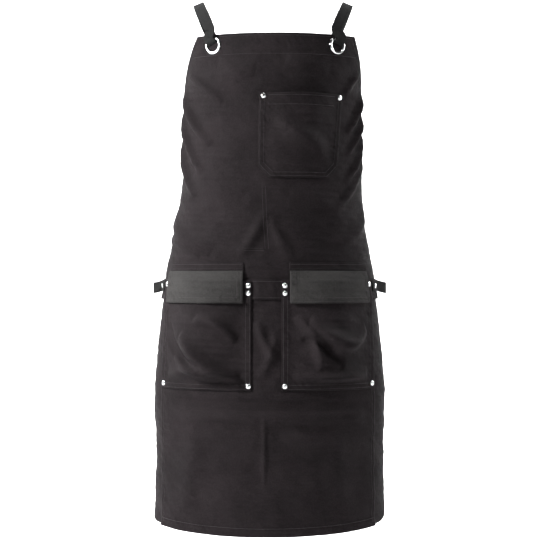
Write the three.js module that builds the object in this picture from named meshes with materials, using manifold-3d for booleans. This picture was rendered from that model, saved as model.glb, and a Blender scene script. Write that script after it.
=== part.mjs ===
// Canvas work apron with crossed shoulder straps, as it hangs on a wearer who isn't modelled.
// Millimetres, +Z up. The front faces -Y and +X is the wearer's left.
// The origin is on the line across the wearer's shoulders that the two straps rest on.

import * as THREE from 'three';
import { mergeVertices } from 'three/addons/utils/BufferGeometryUtils.js';
import Module from 'manifold-3d';

const wasm = await Module();
wasm.setup();

// ---------------------------------------------------------------- driving dimensions

const SIDES = [{ name: 'left', sign: 1 }, { name: 'right', sign: -1 }];

const BIB_TOP = -65;
const WAIST_SEAM = -507;
const SEAM_HALF_GAP = 0.4;
const HEM = -930;

// Plan section of the wearer's form at each height: an ellipse with its centre on x = centre.
// shift is how far round the form the apron's middle line lies, and edge is the distance
// along the cloth from that line to the apron's side edge.
const FORM = [
  { z: BIB_TOP, width: 165, depth: 110, centre: 11, shift: 0, edge: 149 },
  { z: -118, width: 161, depth: 112, centre: 8, shift: -1, edge: 178 },
  { z: -171, width: 157, depth: 115, centre: 5, shift: -2, edge: 203 },
  { z: -292, width: 157, depth: 113, centre: 5, shift: -9, edge: 221 },
  { z: -392, width: 167, depth: 114, centre: 1, shift: -7, edge: 229 },
  { z: -492, width: 186, depth: 118, centre: 0, shift: -5, edge: 244 },
  { z: -681, width: 206, depth: 128, centre: 0, shift: -5, edge: 284 },
  { z: -800, width: 203, depth: 127, centre: 0, shift: -5, edge: 286 },
  { z: HEM, width: 207, depth: 129, centre: 0, shift: -5, edge: 286 },
];

const CLOTH = 1.2;
const GAP = 0.5;
const FIRST_LAYER = CLOTH + GAP;
const DOUBLED_GAP = 0.7;
const SECOND_LAYER = FIRST_LAYER + CLOTH + DOUBLED_GAP;

const FACING = { height: 40, inset: 8, drop: 1, gap: 1.4 };
const WAISTBAND = { top: -490, bottom: -524, inset: 5 };
const SKIRT = { halfWidth: 207, cornerRise: 9 };
const WING = { tuck: 14, gap: 1.0, hemRise: 12, cornerRadius: 70 };

const CHEST_POCKET = {
  middle: 56, topHalf: 76, bottomHalf: 71, top: -169, bottom: -314, corner: 20, bulge: 13,
};
const HIP_POCKET = {
  inner: 26, outer: 204, top: -492, bottom: -680, mouthBulge: 7, bellyBulge: 15, stepBelowBand: 18,
};
const FLAP_BAND = { inner: 39, outer: 191, top: -461, bottom: -474.5 };
const FLAP = {
  inner: 40, outer: 189, fold: -475, height: 55, thickness: 1.6, stand: 3.6, clearance: 2.0,
};
const SEAM_MARGIN = 0.08;

const DRILL_LENGTH = 30;
const EYELET = {
  s: 112, z: -83, hole: 11, barrel: 11.9, rim: 15.5, flange: 1.2, back: 1.0, washerSeat: -4.2,
  clothClearance: 0.35, washerClearance: 0.3, sides: 24,
};
const RIVET = {
  head: 4.5, headHeight: 1.7, post: 1.4, clothClearance: 0.45, ringClearance: 0.25,
  lift: 0.4, back: 3.6, backLift: 1.3, backHeight: 0.9, inset: 7, drop: 5, sides: 10,
};
// Distance from the middle line and height of each rivet that both sides of the apron have.
const SIDE_RIVETS = {
  mouthOuter: { s: 197, z: -498 },
  mouthInner: { s: 31, z: -500 },
  mouthSecond: { s: 31, z: -513 },
  footOuter: { s: 198, z: -671 },
  footInner: { s: 31, z: -672 },
  strap: { s: 220, z: -501 },
};

const WEBBING = { width: 20, thickness: 1.3, layerGap: 0.4 };
const STRAP_SEAT = SECOND_LAYER + WEBBING.layerGap;
const SLIDER = {
  length: 24, railGap: 0.5, rail: 2.5, bar: 4, barHeight: 1.3, centreBarDrop: 2.0, strapGap: 0.4, place: 0.45,
};
const STRAP_END = { tail: -26, stitch: -12, barGap: 0.35, width: 19, thickness: 1.1 };

// The strap's crest over the shoulder is flat for a short way, with the strap leaning outwards.
const CREST = { x: 133, centre: 6, tilt: 0.415, flat: 6 };
const ARCH = { reach: 92, drop: 70, turn: 0.56 };
const ARCH_STATIONS = { front: [10, 20, 30, 40, 55, 70], back: [110, 125, 140] };
const EYELET_LOOP = { along: 8.0, out: -1.2, radius: 6.0, lean: 0.45, behind: [20, 13], after: 15 };
const TAIL_STATIONS = [40, 30, 20];
// The back of the left strap, for the wearer's own left as +X: a straight stretch for the slider,
// then a bend under the crossing and round to the rivet on the other side of the waist.
const BACK_LINE = { from: [90, 100, -95], to: [14, 117, -205], steps: 4 };
const BACK_LINE_SIDE = [0.2, 1, 0.1];
const CROSSING_LIFT = 4;
const BACK_BEND = [
  { at: [-10, 119, -238], out: [0, 1, 0.1], crossing: 1 },
  { at: [-62, 110, -314], out: [-0.35, 1, 0], crossing: 0 },
  { at: [-108, 91, -390], out: [-0.6, 0.85, 0], crossing: 0 },
  { at: [-146, 69, -450], out: [-0.75, 0.7, 0], crossing: 0 },
  { at: [-172, 51, -484], out: [-0.85, 0.5, 0], crossing: 0 },
  { at: [-194, 29, -501], out: [-0.95, 0.35, 0], crossing: 0 },
  { at: [-208, 3, -505], out: [-1, -0.1, 0], crossing: 0 },
];
const WAIST_END = [
  { s: 232, lift: 2.5 },
  { s: 225, lift: 0.4 },
  { s: 217, lift: 0 },
  { s: 209, lift: 0 },
];

const COLOURS = { cloth: 0x282426, webbing: 0x232424, chrome: 0xd8dadd };

// ---------------------------------------------------------------- the wearer's form

// Smooth value of one FORM column at height z.
function formValue(key, z) {
  const last = FORM.length - 1;
  let i = 0;
  while (i < last - 1 && z < FORM[i + 1].z) i += 1;
  const slope = (k) => {
    const above = FORM[Math.max(k - 1, 0)];
    const below = FORM[Math.min(k + 1, last)];
    return (below[key] - above[key]) / (below.z - above.z);
  };
  const span = FORM[i + 1].z - FORM[i].z;
  const t = THREE.MathUtils.clamp((z - FORM[i].z) / span, 0, 1);
  const t2 = t * t;
  const t3 = t2 * t;
  return FORM[i][key] * (2 * t3 - 3 * t2 + 1)
    + slope(i) * span * (t3 - 2 * t2 + t)
    + FORM[i + 1][key] * (3 * t2 - 2 * t3)
    + slope(i + 1) * span * (t3 - t2);
}

// The angle round an ellipse, from its front point, that lies a distance along its edge.
function angleAt(width, depth, distance) {
  const steps = 24;
  const step = distance / steps;
  const rate = (angle) => 1 / Math.hypot(width * Math.cos(angle), depth * Math.sin(angle));
  let angle = 0;
  for (let i = 0; i < steps; i += 1) {
    angle += step * rate(angle + 0.5 * step * rate(angle));
  }
  return angle;
}

// A point s along the cloth from the apron's middle line, at height z, and offset outwards.
function onForm(s, z, offset = 0) {
  const width = formValue('width', z);
  const depth = formValue('depth', z);
  const angle = angleAt(width, depth, s + formValue('shift', z));
  const out = new THREE.Vector3(Math.sin(angle) / width, -Math.cos(angle) / depth, 0).normalize();
  const point = new THREE.Vector3(
    formValue('centre', z) + width * Math.sin(angle),
    -depth * Math.cos(angle),
    z,
  );
  return { point: point.addScaledVector(out, offset), out };
}

const edgeAt = (z) => formValue('edge', z);

// ---------------------------------------------------------------- solids

// One closed body from a grid of points: at(u, v, face) gives the point of the inner (0)
// or outer (1) face. u runs to +X and v runs up.
function gridSolid(columns, rows, at) {
  const positions = [];
  const index = [];
  const id = (i, j, face) => (j * (columns + 1) + i) * 2 + face;
  for (let j = 0; j <= rows; j += 1) {
    for (let i = 0; i <= columns; i += 1) {
      for (const face of [0, 1]) {
        positions.push(...at(i / columns, j / rows, face).toArray());
      }
    }
  }
  for (let j = 0; j < rows; j += 1) {
    for (let i = 0; i < columns; i += 1) {
      const quad = [[i, j], [i + 1, j], [i + 1, j + 1], [i, j + 1]];
      const outer = quad.map(([a, b]) => id(a, b, 1));
      const inner = quad.map(([a, b]) => id(a, b, 0));
      index.push(outer[0], outer[1], outer[2], outer[0], outer[2], outer[3]);
      index.push(inner[0], inner[2], inner[1], inner[0], inner[3], inner[2]);
    }
  }
  const rim = [];
  for (let i = 0; i < columns; i += 1) rim.push([i, 0]);
  for (let j = 0; j < rows; j += 1) rim.push([columns, j]);
  for (let i = columns; i > 0; i -= 1) rim.push([i, rows]);
  for (let j = rows; j > 0; j -= 1) rim.push([0, j]);
  rim.forEach(([i, j], k) => {
    const [ni, nj] = rim[(k + 1) % rim.length];
    const [a, b] = [id(i, j, 1), id(ni, nj, 1)];
    const [c, d] = [id(i, j, 0), id(ni, nj, 0)];
    index.push(b, a, c, b, c, d);
  });
  const geometry = new THREE.BufferGeometry();
  geometry.setAttribute('position', new THREE.Float32BufferAttribute(positions, 3));
  geometry.setIndex(index);
  return geometry;
}

// Cloth on the form. place(u, v) gives { s, z } and offset({ s, z, u, v }) its inner face's distance out.
function clothSolid({ columns, rows, place, offset, thickness = CLOTH }) {
  return gridSolid(columns, rows, (u, v, face) => {
    const { s, z } = place(u, v);
    return onForm(s, z, offset({ s, z, u, v }) + face * thickness).point;
  });
}

// A band with a rectangular section. Each station is a point on its inner face and its outward side.
function ribbonSolid(stations, { width, thickness }) {
  const frames = stations.map(({ point, out }, i) => {
    const before = stations[Math.max(i - 1, 0)].point;
    const after = stations[Math.min(i + 1, stations.length - 1)].point;
    const along = after.clone().sub(before).normalize();
    const across = new THREE.Vector3().crossVectors(along, out).normalize();
    const outward = new THREE.Vector3().crossVectors(across, along).normalize();
    return { point, across, outward };
  });
  return gridSolid(1, stations.length - 1, (u, v, face) => {
    const { point, across, outward } = frames[Math.round(v * (stations.length - 1))];
    return point.clone()
      .addScaledVector(across, (u - 0.5) * width)
      .addScaledVector(outward, face * thickness);
  });
}

function toManifold(geometry) {
  const bare = geometry.clone();
  bare.deleteAttribute('normal');
  bare.deleteAttribute('uv');
  const merged = mergeVertices(bare, 1e-4);
  return new wasm.Manifold(new wasm.Mesh({
    numProp: 3,
    vertProperties: new Float32Array(merged.attributes.position.array),
    triVerts: new Uint32Array(merged.index.array),
  }));
}

function fromManifold(solid) {
  const mesh = solid.getMesh();
  const geometry = new THREE.BufferGeometry();
  geometry.setAttribute('position', new THREE.Float32BufferAttribute(mesh.vertProperties, 3));
  geometry.setIndex(Array.from(mesh.triVerts));
  return geometry;
}

function cutFrom(geometry, cutters) {
  const whole = toManifold(geometry);
  return fromManifold(cutters.reduce((solid, cutter) => solid.subtract(toManifold(cutter)), whole));
}

function joined(geometries) {
  const solids = geometries.map(toManifold);
  return fromManifold(solids.reduce((sum, solid) => sum.add(solid)));
}

// Turns a shape made about +Y so that +Y points outwards from the form at a place on the cloth.
function seatOn(s, z, offset) {
  const { point, out } = onForm(s, z, offset);
  const turn = new THREE.Quaternion().setFromUnitVectors(new THREE.Vector3(0, 1, 0), out);
  return new THREE.Matrix4().compose(point, turn, new THREE.Vector3(1, 1, 1));
}

const lathe = (profile, sides) => new THREE.LatheGeometry(profile.map(([r, h]) => new THREE.Vector2(r, h)), sides);

// ---------------------------------------------------------------- assembly helpers

const apron = new THREE.Group();

const finishes = {
  cloth: () => new THREE.MeshStandardMaterial({ color: COLOURS.cloth, roughness: 0.9, metalness: 0 }),
  webbing: () => new THREE.MeshStandardMaterial({ color: COLOURS.webbing, roughness: 0.8, metalness: 0 }),
  chrome: () => new THREE.MeshStandardMaterial({ color: COLOURS.chrome, roughness: 0.15, metalness: 1 }),
};

function addPart(name, geometry, finish, matrix) {
  const mesh = new THREE.Mesh(geometry, finishes[finish]());
  mesh.name = name;
  if (matrix) mesh.applyMatrix4(matrix);
  apron.add(mesh);
}

// ---------------------------------------------------------------- rivets and eyelets

// Each rivet: where it sits on the cloth, and the faces of the layers that it holds.
function rivetPlaces() {
  const mouth = { outer: SECOND_LAYER + CLOTH, inner: 0 };
  const foot = { outer: FIRST_LAYER + CLOTH, inner: 0 };
  const footOverWing = { outer: FIRST_LAYER + CLOTH, inner: -WING.gap - CLOTH };
  const strap = { outer: STRAP_SEAT + WEBBING.thickness + WEBBING.layerGap, inner: 0 };
  const { mouthOuter, mouthInner, mouthSecond, footOuter, footInner } = SIDE_RIVETS;
  const chestSpread = CHEST_POCKET.topHalf - RIVET.inset;
  const chestHeight = CHEST_POCKET.top - RIVET.drop;
  const places = [
    { name: 'chest_outer', s: CHEST_POCKET.middle + chestSpread, z: chestHeight, ...foot },
    { name: 'chest_inner', s: CHEST_POCKET.middle - chestSpread, z: chestHeight, ...foot },
  ];
  for (const { name, sign } of SIDES) {
    const onSide = (place) => ({ s: sign * place.s, z: place.z });
    places.push({ name: `${name}_mouth_outer`, ...onSide(mouthOuter), ...mouth });
    places.push({ name: `${name}_mouth_inner`, ...onSide(mouthInner), ...mouth });
    places.push({ name: `${name}_mouth_second`, ...onSide(mouthSecond), ...mouth });
    places.push({ name: `${name}_foot_outer`, ...onSide(footOuter), ...footOverWing });
    places.push({ name: `${name}_foot_inner`, ...onSide(footInner), ...foot });
    places.push({ name: `${name}_strap`, ...onSide(SIDE_RIVETS.strap), ...strap });
  }
  return places;
}

const rivets = rivetPlaces();

function rivetHole({ s, z }) {
  const radius = RIVET.post + RIVET.clothClearance;
  const drill = new THREE.CylinderGeometry(radius, radius, DRILL_LENGTH, 8);
  return drill.applyMatrix4(seatOn(s, z, 0));
}

const rivetHoles = (...names) => rivets.filter(({ name }) => names.includes(name)).map(rivetHole);

function addRivet({ name, s, z, outer, inner }) {
  const seat = outer + RIVET.lift;
  const backSeat = inner - RIVET.backLift;
  const postEnd = backSeat - RIVET.backHeight - seat;
  const front = lathe([
    [0, RIVET.headHeight],
    [0.62 * RIVET.head, 0.8 * RIVET.headHeight],
    [RIVET.head, 0.25 * RIVET.headHeight],
    [RIVET.head, 0],
    [RIVET.post, 0],
    [RIVET.post, postEnd],
    [0, postEnd],
  ].reverse(), RIVET.sides);
  addPart(`rivet_${name}`, front, 'chrome', seatOn(s, z, seat));
  const bore = RIVET.post + RIVET.ringClearance;
  const back = lathe([
    [bore, 0],
    [bore, -RIVET.backHeight],
    [RIVET.back, -RIVET.backHeight],
    [RIVET.back, 0],
    [bore, 0],
  ], RIVET.sides);
  addPart(`rivet_back_${name}`, back, 'chrome', seatOn(s, z, backSeat));
}

function eyeletHole(sign) {
  const radius = EYELET.barrel + EYELET.clothClearance;
  const drill = new THREE.CylinderGeometry(radius, radius, DRILL_LENGTH, EYELET.sides);
  return drill.applyMatrix4(seatOn(sign * EYELET.s, EYELET.z, 0));
}

function addEyelet({ name, sign }) {
  const face = FIRST_LAYER + EYELET.flange;
  const back = EYELET.washerSeat - EYELET.back;
  const barrelEnd = back - 0.2;
  const front = lathe([
    [EYELET.hole, barrelEnd],
    [EYELET.barrel, barrelEnd],
    [EYELET.barrel, FIRST_LAYER],
    [EYELET.rim, FIRST_LAYER],
    [EYELET.rim, FIRST_LAYER + 0.5 * EYELET.flange],
    [EYELET.rim - 1.2, face],
    [EYELET.hole + 0.7, face],
    [EYELET.hole, face - 0.6],
    [EYELET.hole, barrelEnd],
  ], EYELET.sides);
  addPart(`${name}_eyelet`, front, 'chrome', seatOn(sign * EYELET.s, EYELET.z, 0));
  const bore = EYELET.barrel + EYELET.washerClearance;
  const washer = lathe([
    [bore, back],
    [EYELET.rim, back],
    [EYELET.rim, EYELET.washerSeat],
    [bore, EYELET.washerSeat],
    [bore, back],
  ], EYELET.sides);
  addPart(`${name}_eyelet_washer`, washer, 'chrome', seatOn(sign * EYELET.s, EYELET.z, 0));
}

// ---------------------------------------------------------------- bib

function addBib() {
  const panel = clothSolid({
    columns: 24,
    rows: 12,
    place: (u, v) => {
      const z = THREE.MathUtils.lerp(WAIST_SEAM + SEAM_HALF_GAP, BIB_TOP, v);
      return { s: (2 * u - 1) * edgeAt(z), z };
    },
    offset: () => 0,
  });
  const mouthHoles = SIDES.flatMap(({ name }) => [`${name}_mouth_outer`, `${name}_mouth_inner`, `${name}_strap`]);
  const holes = rivetHoles('chest_outer', 'chest_inner', ...mouthHoles);
  addPart('bib_panel', cutFrom(panel, [...holes, eyeletHole(1), eyeletHole(-1)]), 'cloth');
}

function addBibFacing() {
  const facing = clothSolid({
    columns: 20,
    rows: 2,
    place: (u, v) => {
      const z = THREE.MathUtils.lerp(BIB_TOP - FACING.height, BIB_TOP - FACING.drop, v);
      return { s: (2 * u - 1) * (edgeAt(z) - FACING.inset), z };
    },
    offset: () => -FACING.gap - CLOTH,
  });
  addPart('bib_top_facing', cutFrom(facing, [eyeletHole(1), eyeletHole(-1)]), 'cloth');
}

// Share of a pocket's slack at a place across it: none along its sewn sides.
function slackAcross(across) {
  const inside = THREE.MathUtils.clamp((across - SEAM_MARGIN) / (1 - 2 * SEAM_MARGIN), 0, 1);
  return Math.sin(Math.PI * inside) ** 1.5;
}

function addChestPocket() {
  const { middle, topHalf, bottomHalf, top, bottom, corner, bulge } = CHEST_POCKET;
  const pocket = clothSolid({
    columns: 12,
    rows: 8,
    place: (u, v) => {
      const half = THREE.MathUtils.lerp(bottomHalf, topHalf, v);
      const s = middle + (2 * u - 1) * half;
      const past = Math.max(0, Math.abs(s - middle) - (bottomHalf - corner));
      return { s, z: THREE.MathUtils.lerp(bottom + past, top, v) };
    },
    offset: ({ u, v }) => FIRST_LAYER + bulge * slackAcross(u) * Math.sin(0.5 * Math.PI * Math.min(1, 1.6 * v)),
  });
  addPart('chest_pocket', cutFrom(pocket, rivetHoles('chest_outer', 'chest_inner')), 'cloth');
}

// ---------------------------------------------------------------- waist and skirt

function addWaistband() {
  const band = clothSolid({
    columns: 36,
    rows: 1,
    place: (u, v) => {
      const z = THREE.MathUtils.lerp(WAISTBAND.bottom, WAISTBAND.top, v);
      return { s: (2 * u - 1) * (edgeAt(z) - WAISTBAND.inset), z };
    },
    offset: () => FIRST_LAYER,
  });
  const names = SIDES.flatMap(({ name }) => [
    `${name}_mouth_outer`, `${name}_mouth_inner`, `${name}_mouth_second`, `${name}_strap`,
  ]);
  addPart('waistband', cutFrom(band, rivetHoles(...names)), 'cloth');
}

function addSkirt() {
  const panel = clothSolid({
    columns: 20,
    rows: 10,
    place: (u, v) => {
      const across = 2 * u - 1;
      const hem = HEM + SKIRT.cornerRise * across ** 2;
      return { s: across * SKIRT.halfWidth, z: THREE.MathUtils.lerp(hem, WAIST_SEAM - SEAM_HALF_GAP, v) };
    },
    offset: () => 0,
  });
  const names = SIDES.flatMap(({ name }) => [`${name}_mouth_second`, `${name}_foot_outer`, `${name}_foot_inner`]);
  addPart('skirt_panel', cutFrom(panel, rivetHoles(...names)), 'cloth');
}

// The side panel starts behind the skirt's side seam, and its lower rear corner is rounded.
function addSidePanel({ name, sign }) {
  const { tuck, gap, hemRise, cornerRadius } = WING;
  const start = SKIRT.halfWidth - tuck;
  const cornerStart = edgeAt(HEM) - cornerRadius;
  const hemAt = (s) => {
    const past = THREE.MathUtils.clamp(s - cornerStart, 0, cornerRadius);
    return HEM + hemRise + cornerRadius - Math.sqrt(cornerRadius ** 2 - past ** 2);
  };
  const panel = clothSolid({
    columns: 8,
    rows: 9,
    place: (u, v) => {
      const outward = sign > 0 ? u : 1 - u;
      const hem = hemAt(THREE.MathUtils.lerp(start, edgeAt(HEM), outward));
      const z = THREE.MathUtils.lerp(hem, WAIST_SEAM - SEAM_HALF_GAP, v);
      return { s: sign * THREE.MathUtils.lerp(start, edgeAt(z), outward), z };
    },
    offset: () => -gap - CLOTH,
  });
  addPart(`${name}_side_panel`, cutFrom(panel, rivetHoles(`${name}_foot_outer`)), 'cloth');
}

// ---------------------------------------------------------------- hip pockets and flaps

// How far out the hip pocket's inner face lies, at a distance from the middle line and a height.
function hipPocketOffset(distance, z) {
  const { inner, outer, top, bottom, mouthBulge, bellyBulge, stepBelowBand } = HIP_POCKET;
  const v = THREE.MathUtils.clamp((z - bottom) / (top - bottom), 0, 1);
  const belly = bellyBulge * Math.sin(Math.PI * v) ** 0.8;
  const slack = mouthBulge * v ** 2 + belly * (1 - v ** 4);
  const overBand = THREE.MathUtils.smoothstep(z, WAISTBAND.bottom - stepBelowBand, WAISTBAND.bottom);
  const seam = THREE.MathUtils.lerp(FIRST_LAYER, SECOND_LAYER, overBand);
  return seam + slack * slackAcross((distance - inner) / (outer - inner));
}

function addHipPocket({ name, sign }) {
  const { inner, outer, top, bottom } = HIP_POCKET;
  const pocket = clothSolid({
    columns: 13,
    rows: 9,
    place: (u, v) => {
      const outward = sign > 0 ? u : 1 - u;
      return { s: sign * THREE.MathUtils.lerp(inner, outer, outward), z: THREE.MathUtils.lerp(bottom, top, v) };
    },
    offset: ({ s, z }) => hipPocketOffset(Math.abs(s), z),
  });
  const names = ['mouth_outer', 'mouth_inner', 'mouth_second', 'foot_outer', 'foot_inner'];
  addPart(`${name}_hip_pocket`, cutFrom(pocket, rivetHoles(...names.map((end) => `${name}_${end}`))), 'cloth');
}

function addFlapBand({ name, sign }) {
  const { inner, outer, top, bottom } = FLAP_BAND;
  const band = clothSolid({
    columns: 12,
    rows: 1,
    place: (u, v) => {
      const outward = sign > 0 ? u : 1 - u;
      return { s: sign * THREE.MathUtils.lerp(inner, outer, outward), z: THREE.MathUtils.lerp(bottom, top, v) };
    },
    offset: () => FIRST_LAYER,
  });
  addPart(`${name}_flap_band`, band, 'cloth');
}

// The flap hangs from its fold and stands clear of the pocket's mouth.
function addFlap({ name, sign }) {
  const { inner, outer, fold, height, thickness, stand, clearance } = FLAP;
  const bottom = fold - height;
  const flap = clothSolid({
    columns: 12,
    rows: 5,
    thickness,
    place: (u, v) => {
      const outward = sign > 0 ? u : 1 - u;
      return { s: sign * THREE.MathUtils.lerp(inner, outer, outward), z: THREE.MathUtils.lerp(bottom, fold, v) };
    },
    offset: ({ s, z }) => {
      const dropped = THREE.MathUtils.clamp((fold - z) / (fold - HIP_POCKET.top), 0, 1);
      const clear = hipPocketOffset(Math.abs(s), Math.min(z, HIP_POCKET.top)) + CLOTH + clearance;
      return THREE.MathUtils.lerp(stand, clear, dropped);
    },
  });
  addPart(`${name}_flap`, flap, 'cloth');
}

// ---------------------------------------------------------------- shoulder straps

// A point of the loop through the eyelet: up the strap's line by along, and out from the cloth.
function atEyelet(sign, along, out) {
  const seat = onForm(sign * EYELET.s, EYELET.z, 0);
  const aside = new THREE.Vector3(-seat.out.y, seat.out.x, 0).multiplyScalar(sign);
  const upright = new THREE.Vector3(0, 0, Math.cos(EYELET_LOOP.lean));
  const up = aside.multiplyScalar(Math.sin(EYELET_LOOP.lean)).add(upright);
  return { point: seat.point.addScaledVector(up, along).addScaledVector(seat.out, out), normal: seat.out, up };
}

// The strap over the shoulder: angle 0 is in front at the bib and 90 degrees is the crest.
function overShoulder(sign, degrees) {
  const angle = THREE.MathUtils.degToRad(degrees);
  const rise = 1 - Math.sin(angle);
  const point = new THREE.Vector3(
    CREST.centre + sign * (CREST.x - CREST.tilt * ARCH.drop * rise),
    -ARCH.reach * Math.cos(angle),
    -ARCH.drop * rise,
  );
  const out = new THREE.Vector3(
    sign * (CREST.tilt * Math.sin(angle) + ARCH.turn * Math.abs(Math.cos(angle))),
    -Math.cos(angle),
    Math.sin(angle),
  ).normalize();
  return { point, out };
}

// The stitched tail behind the strap, and the loop through the eyelet's hole.
function routeRoundEyelet(sign) {
  const { along, out, radius, behind, after } = EYELET_LOOP;
  const route = TAIL_STATIONS.map((degrees) => {
    const station = overShoulder(sign, degrees);
    return { point: station.point.addScaledVector(station.out, -WEBBING.layerGap), out: station.out.negate() };
  });
  for (const distance of behind) {
    const { point, normal } = atEyelet(sign, distance, out - radius);
    route.push({ point, out: normal.negate() });
  }
  for (let degrees = 180; degrees <= 360; degrees += 30) {
    const turn = THREE.MathUtils.degToRad(degrees);
    const lift = out + radius * Math.cos(turn);
    const { point, normal, up } = atEyelet(sign, along + radius * Math.sin(turn), lift);
    const away = normal.multiplyScalar(Math.cos(turn)).addScaledVector(up, Math.sin(turn));
    route.push({ point, out: away });
  }
  const { point, normal } = atEyelet(sign, after, out + radius);
  route.push({ point, out: normal });
  return route;
}

// Over the shoulder, with four stations in one line at the crest so that its middle is flat.
function routeOverShoulder(sign) {
  const crest = [-3, -1, 1, 3].map((step) => {
    const { point, out } = overShoulder(sign, 90);
    return { point: point.setY(step * CREST.flat), out };
  });
  const front = ARCH_STATIONS.front.map((degrees) => overShoulder(sign, degrees));
  const back = ARCH_STATIONS.back.map((degrees) => overShoulder(sign, degrees));
  return [...front, ...crest, ...back];
}

// A point of the straight stretch on the back, t of the way down it.
function onBackLine(sign, t) {
  const lift = sign > 0 ? CROSSING_LIFT : 0;
  const [x, y, z] = BACK_LINE.from.map((value, k) => THREE.MathUtils.lerp(value, BACK_LINE.to[k], t));
  return new THREE.Vector3(CREST.centre * (1 - t) + sign * x, y + lift * t, z);
}

function routeDownBack(sign) {
  const lift = sign > 0 ? CROSSING_LIFT : 0;
  const mirrored = ([x, y, z]) => new THREE.Vector3(sign * x, y, z);
  const route = [];
  for (let i = 0; i <= BACK_LINE.steps; i += 1) {
    route.push({ point: onBackLine(sign, i / BACK_LINE.steps), out: mirrored(BACK_LINE_SIDE) });
  }
  for (const { at, out, crossing } of BACK_BEND) {
    route.push({ point: mirrored(at).add(new THREE.Vector3(0, crossing * lift, 0)), out: mirrored(out) });
  }
  return route;
}

function routeToRivet(sign) {
  return WAIST_END.map((end) => {
    const { point, out } = onForm(-sign * end.s, SIDE_RIVETS.strap.z, STRAP_SEAT + end.lift);
    return { point, out: out.setZ(0.1).normalize() };
  });
}

// One strap's whole route on its inner face, from its tail behind the bib to its waist rivet.
function strapRoute(sign) {
  return [routeRoundEyelet, routeOverShoulder, routeDownBack, routeToRivet].flatMap((part) => part(sign));
}

// Points at an even spacing of the route's own numbering, on one smooth curve.
function smoothStations(route, perStep) {
  const points = new THREE.CatmullRomCurve3(route.map(({ point }) => point));
  const sides = new THREE.CatmullRomCurve3(route.map(({ out }) => out.clone().normalize()));
  const count = (route.length - 1) * perStep;
  return Array.from({ length: count + 1 }, (_, i) => ({
    point: points.getPoint(i / count),
    out: sides.getPoint(i / count).normalize(),
  }));
}

function addStrap({ name, sign }) {
  const stations = smoothStations(strapRoute(sign), 2);
  const strap = ribbonSolid(stations, WEBBING);
  const farSide = sign > 0 ? 'right' : 'left';
  addPart(`${name}_shoulder_strap`, cutFrom(strap, rivetHoles(`${farSide}_strap`)), 'webbing');
}

// The slider's own frame on the straight stretch of the back: X across the strap, Y along it, Z outwards.
function sliderPlace(sign) {
  const along = onBackLine(sign, 1).sub(onBackLine(sign, 0)).normalize();
  const [x, y, z] = BACK_LINE_SIDE;
  const across = new THREE.Vector3().crossVectors(along, new THREE.Vector3(sign * x, y, z)).normalize();
  const out = new THREE.Vector3().crossVectors(across, along);
  return new THREE.Matrix4().makeBasis(across, along, out).setPosition(onBackLine(sign, SLIDER.place));
}

function addSlider({ name, sign }) {
  const { length, railGap, rail, bar, barHeight, centreBarDrop, strapGap } = SLIDER;
  const innerHalf = 0.5 * WEBBING.width + railGap;
  const low = -centreBarDrop - barHeight;
  const high = WEBBING.thickness + strapGap + barHeight;
  const block = (x, y, z, wide, long, tall) => new THREE.BoxGeometry(wide, long, tall).translate(x, y, z);
  const span = 2 * (innerHalf + rail);
  const pieces = [
    block(0, 0, low + 0.5 * barHeight, span, bar, barHeight),
  ];
  for (const end of [-1, 1]) {
    pieces.push(block(end * (innerHalf + 0.5 * rail), 0, 0.5 * (low + high), rail, length, high - low));
    pieces.push(block(0, end * 0.5 * (length - bar), high - 0.5 * barHeight, span, bar, barHeight));
  }
  addPart(`${name}_slider`, joined(pieces), 'chrome', sliderPlace(sign));
}

// The webbing's returned end: a short loop round the slider's middle bar, sewn to itself.
function addStrapEnd({ name, sign }) {
  const { bar, barHeight, centreBarDrop } = SLIDER;
  const middle = -centreBarDrop - 0.5 * barHeight;
  const radius = 0.5 * barHeight + STRAP_END.barGap;
  const turnAt = 0.5 * bar;
  const stations = [];
  const add = (y, z, outY, outZ) => stations.push({
    point: new THREE.Vector3(0, y, z),
    out: new THREE.Vector3(0, outY, outZ),
  });
  for (const y of [STRAP_END.tail, STRAP_END.stitch, turnAt - 1]) add(y, middle + radius, 0, 1);
  for (let degrees = 60; degrees >= -60; degrees -= 30) {
    const turn = THREE.MathUtils.degToRad(degrees);
    add(turnAt + radius * Math.cos(turn), middle + radius * Math.sin(turn), Math.cos(turn), Math.sin(turn));
  }
  for (const y of [turnAt - 1, STRAP_END.stitch, STRAP_END.tail]) add(y, middle - radius, 0, -1);
  const loop = ribbonSolid(stations, STRAP_END);
  addPart(`${name}_strap_end`, loop, 'webbing', sliderPlace(sign));
}

// ---------------------------------------------------------------- the apron

addBib();
addBibFacing();
addChestPocket();
addWaistband();
addSkirt();
for (const side of SIDES) {
  addSidePanel(side);
  addHipPocket(side);
  addFlapBand(side);
  addFlap(side);
  addEyelet(side);
  addStrap(side);
  addSlider(side);
  addStrapEnd(side);
}
rivets.forEach(addRivet);

export default apron;
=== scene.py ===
import logging
import math
from dataclasses import dataclass
from enum import Enum
from functools import cache

import bmesh
import bpy
import numpy as np
from mathutils import Matrix, Vector


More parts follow.
